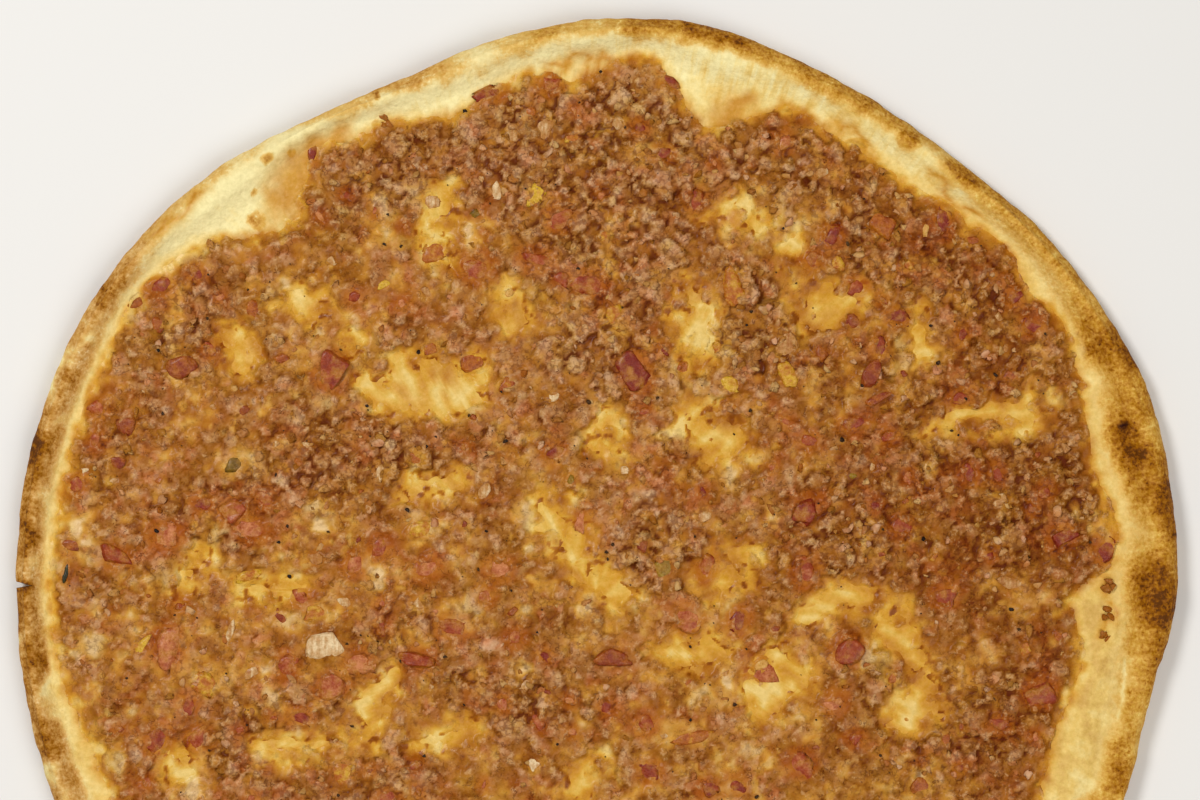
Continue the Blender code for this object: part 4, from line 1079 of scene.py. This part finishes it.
def golden_dough(degrees, inward, width, edge):
    """How golden the dough is: palest at the upper left, partly its own colour and partly painted light,
    paler at the top as painted light, more golden to the right as painted shade, and a painted lit line on
    the right rim's inner slope by the meat.
    """
    # Paler at the upper left and at the top: painted light on the rim's inner slope, which the lamps leave
    # in shade there. At the upper left the dough is also paler of itself
    golden = 0.34 + 0.25 * step(inward, 0.7 * width, 1.3 * width) - 0.62 * hump(degrees, 124, 22)
    golden = golden - 0.3 * hump(degrees, 90, 18)
    from_right = (degrees + 180) % 360 - 180
    lit_line = step(-edge, 0.4, 1.2) * (1 - step(-edge, 2.2, 4.2)) * hump(from_right, 14, 24)
    # More golden towards the right as painted shade, and paler along the painted lit line
    return golden + 0.36 * hump(from_right, -5, 38) - 0.42 * lit_line


def fat_on_bread(x, y, edge, bare):
    """How thick and how warm the fat is that has run out of the meat and lies in pools."""
    near_meat = 1 - step(-edge, 0.5, 4.2)
    film = near_meat * (1.02 - 0.12 * step(-bare, 2.0, 6.0) + 0.15 * flat_noise(x, y, 4.0, 121))
    warmth = fat_warmth(x, y, edge, bare)
    wander_x, wander_y = x + 3 * flat_noise(x, y, 6.0, 123), y + 3 * flat_noise(x, y, 6.0, 127)
    for pool in FAT_POOLS:
        soft = min(1.0, pool[3] / 3)
        soaked = 1 - step(oval_distance(wander_x, wander_y, pool), -5.0 * soft, 3.6 * soft)
        film = np.maximum(film, 0.95 * soaked)
        warmth = np.maximum(warmth, 0.42 * soaked + 0.10 * flat_noise(x, y, 3.0, 129) * soaked)
    return np.clip(film, 0, 1), np.clip(warmth, 0, 1)


def bread_looks(x, y, height, degrees, inward, width):
    """Masks of the bread: how browned, how golden, and how soaked it is at each point."""
    below = 1 - step(height, 0.4, 2.4)
    spots = step(flat_noise(x, y, 11.0, 111), 0.05, 0.6) + 0.5 * step(flat_noise(x, y, 4.0, 115), 0.2, 0.7)
    browned = browning(x, y, degrees, inward, width) * (1 - below) + below * (0.16 + 0.62 * spots)
    edge, bare = topping_depth(x, y)
    film, warmth = fat_on_bread(x, y, edge, bare)
    on_right = step(np.cos(np.radians(degrees - 20)), -0.15, 0.25)
    return {
        "browned": np.clip(browned, 0, 0.9),
        "golden": golden_dough(degrees, inward, width, edge),
        "dark_hole": 1 - step(oval_distance(x, y, DARK_HOLE_SPOT), -0.5, 0.3),
        "toasty": np.maximum(on_right, 0.8 * hump(degrees, 122, 14)),
        "film": film * (1 - below), "warmth": warmth,
    }


# Meat


def meat_grid():
    """The topping's surface on a square grid: coordinates, height and looks."""
    reach = max(radius for _, radius in TOPPING_EDGE) + 2
    steps = np.arange(-reach, reach, MEAT_GRID)
    x, y = np.meshgrid(steps, steps, indexing="ij")
    thickness, looks = topping_surface(x, y)
    top = FLOOR_THICKNESS + LAYER_GAP + thickness
    return {"steps": steps, "x": x, "y": y, "thickness": thickness, "top": top, "looks": looks}


def window(meat, x, y, reach):
    """The part of the grid within a reach of a point."""
    first = meat["steps"][0]
    i, j = round((x - first) / MEAT_GRID), round((y - first) / MEAT_GRID)
    r = max(1, round(reach / MEAT_GRID))
    return slice(max(i - r, 0), i + r + 1), slice(max(j - r, 0), j + r + 1)


def level_at(meat, x, y, reach):
    """Average height of the meat round a point."""
    return float(np.maximum(meat["top"][window(meat, x, y, reach)], FLOOR_THICKNESS).mean())


def make_meat(meat, material):
    """The meat in four quarters, each a grid of faces wherever the meat stands above the bread."""
    shown = meat["thickness"] > BURIED
    whole = shown[:-1, :-1] & shown[1:, :-1] & shown[1:, 1:] & shown[:-1, 1:]
    side = len(meat["steps"])
    halves = (slice(0, side // 2), slice(side // 2, None))
    for number, (columns, rows) in enumerate(itertools.product(halves, halves)):
        part = np.zeros(whole.shape, bool)
        part[columns, rows] = whole[columns, rows]
        i, j = np.nonzero(part)
        first = i * side + j
        corners = np.stack((first, first + side, first + side + 1, first + 1), axis=1)
        used, faces = np.unique(corners, return_inverse=True)
        points = np.stack([meat[key].ravel()[used] for key in ("x", "y", "top")], axis=1)
        looks = {key: values.ravel()[used] for key, values in meat["looks"].items()}
        name = f"meat_quarter_{number + 1}"
        make_piece(name, points, [faces.reshape(-1, 4)], material, "minced_meat", "meat_topping", **looks)


# Vegetables, crumbs and spice


def block_template(squares):
    """Points and square faces of a cube's surface, from -1 to 1."""
    steps = np.linspace(-1, 1, squares + 1)
    u, v = (c.ravel() for c in np.meshgrid(steps, steps, indexing="ij"))
    i, j = (c.ravel() for c in np.meshgrid(np.arange(squares), np.arange(squares), indexing="ij"))
    first = i * (squares + 1) + j
    square = np.stack((first, first + squares + 1, first + squares + 2, first + 1), axis=1)
    points, faces = [], []
    for axis, side in itertools.product(range(3), (-1, 1)):
        face = np.empty((len(u), 3))
        face[:, axis] = side
        face[:, (axis + 1) % 3] = u
        face[:, (axis + 2) % 3] = v
        faces.append((square if side > 0 else square[:, ::-1]) + len(points) * len(u))
        points.append(face)
    merged, index = np.unique(np.round(np.concatenate(points), 6), axis=0, return_inverse=True)
    return merged, index.ravel()[np.concatenate(faces)]


# How many flat sides are cut on each lump
CUT_SIDES = 5


def lumps(template, places, sizes, turns, uneven, seed, roundness, lean=0.15):
    """Uneven copies of a template with cut sides, each with its own place, size and turn, as one mesh."""
    points, faces = template
    count = len(places)
    draw = np.random.default_rng(seed)
    unit = points / (np.abs(points) ** roundness).sum(1, keepdims=True) ** (1 / roundness)
    shift = draw.uniform(0, 900, (count, 1))
    at = [unit[None, :, k] + shift for k in range(3)]
    bulges = [uneven * rough_noise(*at, 0.9, seed + 3 * k, 2) for k in range(3)]
    local = np.stack([unit[:, k] + bulges[k] for k in range(3)], axis=2)
    for _ in range(CUT_SIDES):
        heading = draw.uniform(0, 2 * np.pi, count)
        side = np.stack((np.cos(heading), np.sin(heading), draw.uniform(-0.4, 0.4, count)), axis=1)
        beyond = np.einsum("bpk,bk->bp", local, side) - draw.uniform(0.55, 0.95, (count, 1))
        beyond = np.clip(beyond, 0, None)
        local = local - 0.85 * beyond[..., None] * side[:, None]
    local = local * np.asarray(sizes)[:, None] / 2
    tip = draw.uniform(-lean, lean, (count, 1))
    local[..., 2] += tip * local[..., 0]
    c, s = np.cos(turns)[:, None], np.sin(turns)[:, None]
    x = local[..., 0] * c - local[..., 1] * s
    y = local[..., 0] * s + local[..., 1] * c
    moved = np.stack((x, y, local[..., 2]), axis=2) + np.asarray(places)[:, None]
    starts = (np.arange(count) * len(points))[:, None, None]
    return moved.reshape(-1, 3), (faces[None] + starts).reshape(-1, faces.shape[1])


def grid_value(meat, values, x, y):
    """Values of the grid at the nearest points."""
    first = meat["steps"][0]
    last = len(meat["steps"]) - 1
    i = np.clip(np.rint((x - first) / MEAT_GRID).astype(int), 0, last)
    j = np.clip(np.rint((y - first) / MEAT_GRID).astype(int), 0, last)
    return values[i, j]


def press_in(meat, bits, depth, stain):
    """Sinks the meat under each vegetable piece and stains it round them; returns each bit's top."""
    tops = []
    for x, y, length, width, turn, _ in bits:
        near = window(meat, x, y, length / 2 + 3)
        far = oval_distance(meat["x"][near], meat["y"][near], (x, y, length / 2, width / 2, turn))
        top = level_at(meat, x, y, length / 2) + depth
        ragged = 0.1 * width * flat_noise(meat["x"][near], meat["y"][near], 2.4, 149)
        under = 1 - step(far + ragged, -0.38 * width, -0.12 * width)
        lowered = np.minimum(meat["top"][near], top - 0.55)
        meat["top"][near] += under * (lowered - meat["top"][near])
        out = np.clip(far + ragged + 0.3, 0, None)
        climbing = top - 0.13 - 0.3 * out - 0.45 * out**2
        meat["top"][near] += (1 - under) * np.clip(climbing - meat["top"][near], 0, None)
        wet = 0.6 * (1 - step(np.abs(far), 0.4, 1.6))
        meat["looks"]["film"][near] = np.maximum(meat["looks"]["film"][near], wet)
        # No painted pit shade under a piece
        meat["looks"]["pit_shade"][near] *= 1 - under
        ring = stain * (1 - step(far, 0.0, 2.6))
        meat["looks"]["stain"][near] = np.maximum(meat["looks"]["stain"][near], ring)
        tops.append(top)
    return np.array(tops)


def more_bits(meat, taken, count, sizes, spacing, seed, palest=1.0):
    """Further pieces at random, clear of those already there and of the topping's edges."""
    draw = np.random.default_rng(seed)
    found = []
    while len(found) < count:
        turn, reach = draw.uniform(0, 2 * np.pi), BIT_REACH * math.sqrt(draw.random())
        x, y = reach * math.cos(turn), reach * math.sin(turn)
        if grid_value(meat, meat["thickness"], x, y) < 1.1:
            continue
        if any(math.hypot(x - p[0], y - p[1]) < spacing + 0.3 * p[2] for p in taken + found):
            continue
        length = sizes[0] + (sizes[1] - sizes[0]) * draw.random() ** 1.7
        width = length * draw.uniform(0.55, 0.95)
        found.append((x, y, length, width, draw.uniform(0, 180), palest * draw.random()))
    return found


def make_bits(meat, name, bits, material, slot, thickness, rise, stain, seed, roundness=4.5):
    """One mesh of all the pieces of one kind, pressed into the meat."""
    tops = press_in(meat, bits, rise, stain)
    places = [(bit[0], bit[1], top - thickness / 2) for bit, top in zip(bits, tops)]
    sizes = [(bit[2], bit[3], thickness) for bit in bits]
    turns = np.radians([bit[4] for bit in bits])
    template = block_template(4)
    points, faces = lumps(template, places, sizes, turns, 0.32, seed, roundness)
    tone = np.repeat([bit[5] for bit in bits], len(template[0]))
    make_piece(name, points, [faces], material, slot, "meat_topping", tone=tone)


def cad_piece(node):
    """Where a large piece of the CAD model lies: (x, y, length, width, turn), its bottom and its top."""
    points = np.array([v.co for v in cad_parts[node].data.vertices]) / MM + MIDDLE
    low, high = points.min(0), points.max(0)
    middle = (low + high) / 2
    flat = points[:, :2] - middle[:2]
    _, axes = np.linalg.eigh(flat.T @ flat)
    along = axes[:, 1]
    across = axes[:, 0]
    length = np.ptp(flat @ along)
    width = np.ptp(flat @ across)
    turn = math.degrees(math.atan2(along[1], along[0]))
    return (middle[0], middle[1], length, width, turn), low[2], high[2]


def make_large_pieces(meat, finishes):
    """Each large piece of the CAD model as soft cooked flesh of its size in its place."""
    template = block_template(9)
    for seed, (node, tone) in enumerate(sorted(LARGE_TONES.items())):
        kind = node.split("_")[0]
        (x, y, length, width, turn), low, high = cad_piece(node)
        press_in(meat, [(x, y, length, width, turn, tone)], 0.2, 0.5 if kind == "tomato" else 0.0)
        middle = [(x, y, (low + high) / 2)]
        size = [(length * LARGE_SWELL, width * LARGE_SWELL, high - low)]
        points, faces = lumps(template, middle, size, np.radians([turn]), 0.24, 300 + seed, 4.5, 0.08)
        name = f"{kind}_flesh_{node[-2:]}"
        tones = np.full(len(points), tone)
        make_piece(name, points, [faces], finishes[kind], f"{kind}_flesh", node, tone=tones)


def make_crumbs(meat, material):
    """Loose crumbs of meat on the dry places."""
    draw = np.random.default_rng(401)
    x, y = scattered(draw, CRUMB_REACH, CRUMB_TRIES)
    thick = grid_value(meat, meat["thickness"], x, y)
    stained = grid_value(meat, meat["looks"]["stain"], x, y)
    kept = (thick > 0.9) & (stained < 0.3) & (draw.random(CRUMB_TRIES) < crumbliness(x, y) ** 1.3)
    lone = draw.uniform(-1.1, 1.1, (len(LONE_CRUMBS), CRUMBS_TOGETHER, 2))
    lone = (np.array(LONE_CRUMBS)[:, None] + lone).reshape(-1, 2)
    x = np.concatenate((lone[:, 0], x[kept][:CRUMB_COUNT]))
    y = np.concatenate((lone[:, 1], y[kept][:CRUMB_COUNT]))
    count = len(x)
    size = 0.9 + 1.3 * draw.random(count) ** 2
    size[:len(lone)] = 1.6
    z = np.maximum(grid_value(meat, meat["top"], x, y), FLOOR_THICKNESS + 0.5) - 0.15 * size
    places = np.stack((x, y, z), axis=1)
    sizes = size[:, None] * draw.uniform(0.6, 1.35, (count, 3)) * (1.15, 1.15, 0.7)
    template = block_template(3)
    points, faces = lumps(template, places, sizes, draw.uniform(0, 6.3, count), 0.5, 402, 5.0, 0.7)
    each = len(template[0])
    rise = (points[:, 2] - np.repeat(z, each)) / np.repeat(size, each)
    # Each crumb is lighter towards its top and darker underneath: painted light and shade
    tone = np.repeat(0.15 + 0.75 * draw.random(count), each) + 0.25 * rise
    film, warmth = 0.1 + 0.3 * draw.random(count), 0.4 + 0.5 * draw.random(count)
    film[:len(lone)], warmth[:len(lone)] = 0.9, 0.85
    nothing = np.zeros(len(points))
    looks = {
        "tone": tone, "film": np.repeat(film, each), "warmth": np.repeat(warmth, each), "pit_shade": nothing,
        "hue": np.repeat(draw.random(count), each), "stain": nothing, "top_highlight": nothing + 0.3,
        "crumbly": nothing, "soaked": nothing + 0.2,
    }
    make_piece("meat_crumbs", points, [faces], material, "minced_meat", "meat_topping", **looks)


def make_pepper_grains(meat, material):
    """Coarse ground black pepper."""
    draw = np.random.default_rng(501)
    x, y = scattered(draw, GRAIN_REACH, GRAIN_COUNT)
    z = np.maximum(grid_value(meat, meat["top"], x, y), FLOOR_THICKNESS)
    size = 0.4 + 0.9 * draw.random(GRAIN_COUNT) ** 3
    places = np.stack((x, y, z + 0.12 * size), axis=1)
    sizes = size[:, None] * draw.uniform(0.7, 1.1, (GRAIN_COUNT, 3))
    template = block_template(2)
    points, faces = lumps(template, places, sizes, draw.uniform(0, 6.3, GRAIN_COUNT), 0.5, 502, 3.0, 0.5)
    tone = np.repeat(draw.random(GRAIN_COUNT), len(template[0]))
    make_piece("black_pepper", points, [faces], material, None, "meat_topping", tone=tone)


# Floor, light and camera


def make_stage():
    """Pale floor just under the pie, and soft light from all round."""
    material, _, shader = new_material("pale_floor")
    shader.inputs["Base Color"].default_value = FLOOR_COLOUR
    shader.inputs["Roughness"].default_value = 0.9
    bpy.ops.mesh.primitive_plane_add(size=FLOOR_SIZE, location=(0, 0, -FLOOR_DROP))
    floor = bpy.context.object
    floor.name = "floor"
    floor.data.materials.append(material)
    world = bpy.data.worlds.new("studio")
    world.use_nodes = True
    world.node_tree.nodes["Background"].inputs[0].default_value = ROOM_LIGHT
    world.node_tree.nodes["Background"].inputs[1].default_value = ROOM_STRENGTH
    bpy.context.scene.world = world
    bpy.context.scene.view_settings.view_transform = "Standard"


def add_light(name, position, size, power):
    """A round lamp that faces the pie."""
    light = bpy.data.lights.new(name, "AREA")
    light.shape = "DISK"
    light.size = size
    light.energy = power
    lamp = bpy.data.objects.new(name, light)
    lamp.location = position
    lamp.rotation_mode = "QUATERNION"
    lamp.rotation_quaternion = (-Vector(position)).to_track_quat("-Z", "Y")
    bpy.context.scene.collection.objects.link(lamp)


def add_camera():
    """Straight above the place that the photograph is centred on, at its scale."""
    camera = bpy.data.objects.new("camera", bpy.data.cameras.new("camera"))
    camera.data.lens = camera.data.sensor_width * (CAMERA_HEIGHT - PIE_HEIGHT) / (VIEW_WIDTH * MM)
    x, y, _ = (np.array(VIEW_CENTRE) - MIDDLE) * MM
    camera.location = (x, y, CAMERA_HEIGHT)
    bpy.context.scene.collection.objects.link(camera)
    bpy.context.scene.camera = camera


def make_topping(meat_finish, flesh):
    """The large pieces and the small ones pressed into the meat, then the meat, crumbs and spice."""
    meat = meat_grid()
    make_large_pieces(meat, flesh)
    taken = [cad_piece(node)[0] for node in LARGE_TONES]
    taken += list(TOMATO_BITS + PEPPER_BITS + GREEN_BITS + ONION_BITS + SEEDS + HERBS)
    # Further small pieces: how many, their least and greatest length, the space round them, and seed
    tomato = more_bits(meat, taken, 76, (2.0, 5.2), 3.4, 601)
    pepper = more_bits(meat, taken + tomato, 42, (1.8, 4.4), 3.2, 602, 0.55)
    onion = more_bits(meat, taken + tomato + pepper, 62, (1.6, 4.6), 3.0, 603, 0.6)
    tomato = list(TOMATO_BITS) + tomato
    pepper = list(PEPPER_BITS) + pepper
    onion = list(ONION_BITS) + onion
    # Each kind's finish, slot, thickness, rise above the meat, stain round it, and seed
    make_bits(meat, "tomato_bits", tomato, flesh["tomato"], "tomato_flesh", 1.5, 0.08, 0.45, 11)
    make_bits(meat, "pepper_bits", pepper, flesh["pepper"], "pepper_flesh", 1.7, 0.3, 0.0, 12)
    make_bits(meat, "onion_bits", onion, flesh["onion"], "onion_flesh", 1.3, 0.06, 0.0, 13)
    make_bits(meat, "green_pepper_bits", GREEN_BITS, flesh["green"], "pepper_flesh", 1.6, 0.4, 0.0, 14)
    make_bits(meat, "chilli_seeds", SEEDS, flesh["seed"], None, 0.9, 0.5, 0.0, 15, 2.2)
    make_bits(meat, "herb_stalks", HERBS, flesh["herb"], None, 1.2, 0.6, 0.0, 16, 3.0)
    make_meat(meat, meat_finish)
    make_crumbs(meat, meat_finish)
    make_pepper_grains(meat, flesh["spice"])


def main():
    """Sets the room, then makes the bread and its topping."""
    make_stage()
    for name, light in LIGHTS.items():
        add_light(name, *light)
    add_camera()
    make_bread(bread_material())
    meat_finish = meat_material()
    flesh = {kind: flesh_material(*finish) for kind, finish in FLESHES.items()}
    make_topping(meat_finish, flesh)


main()
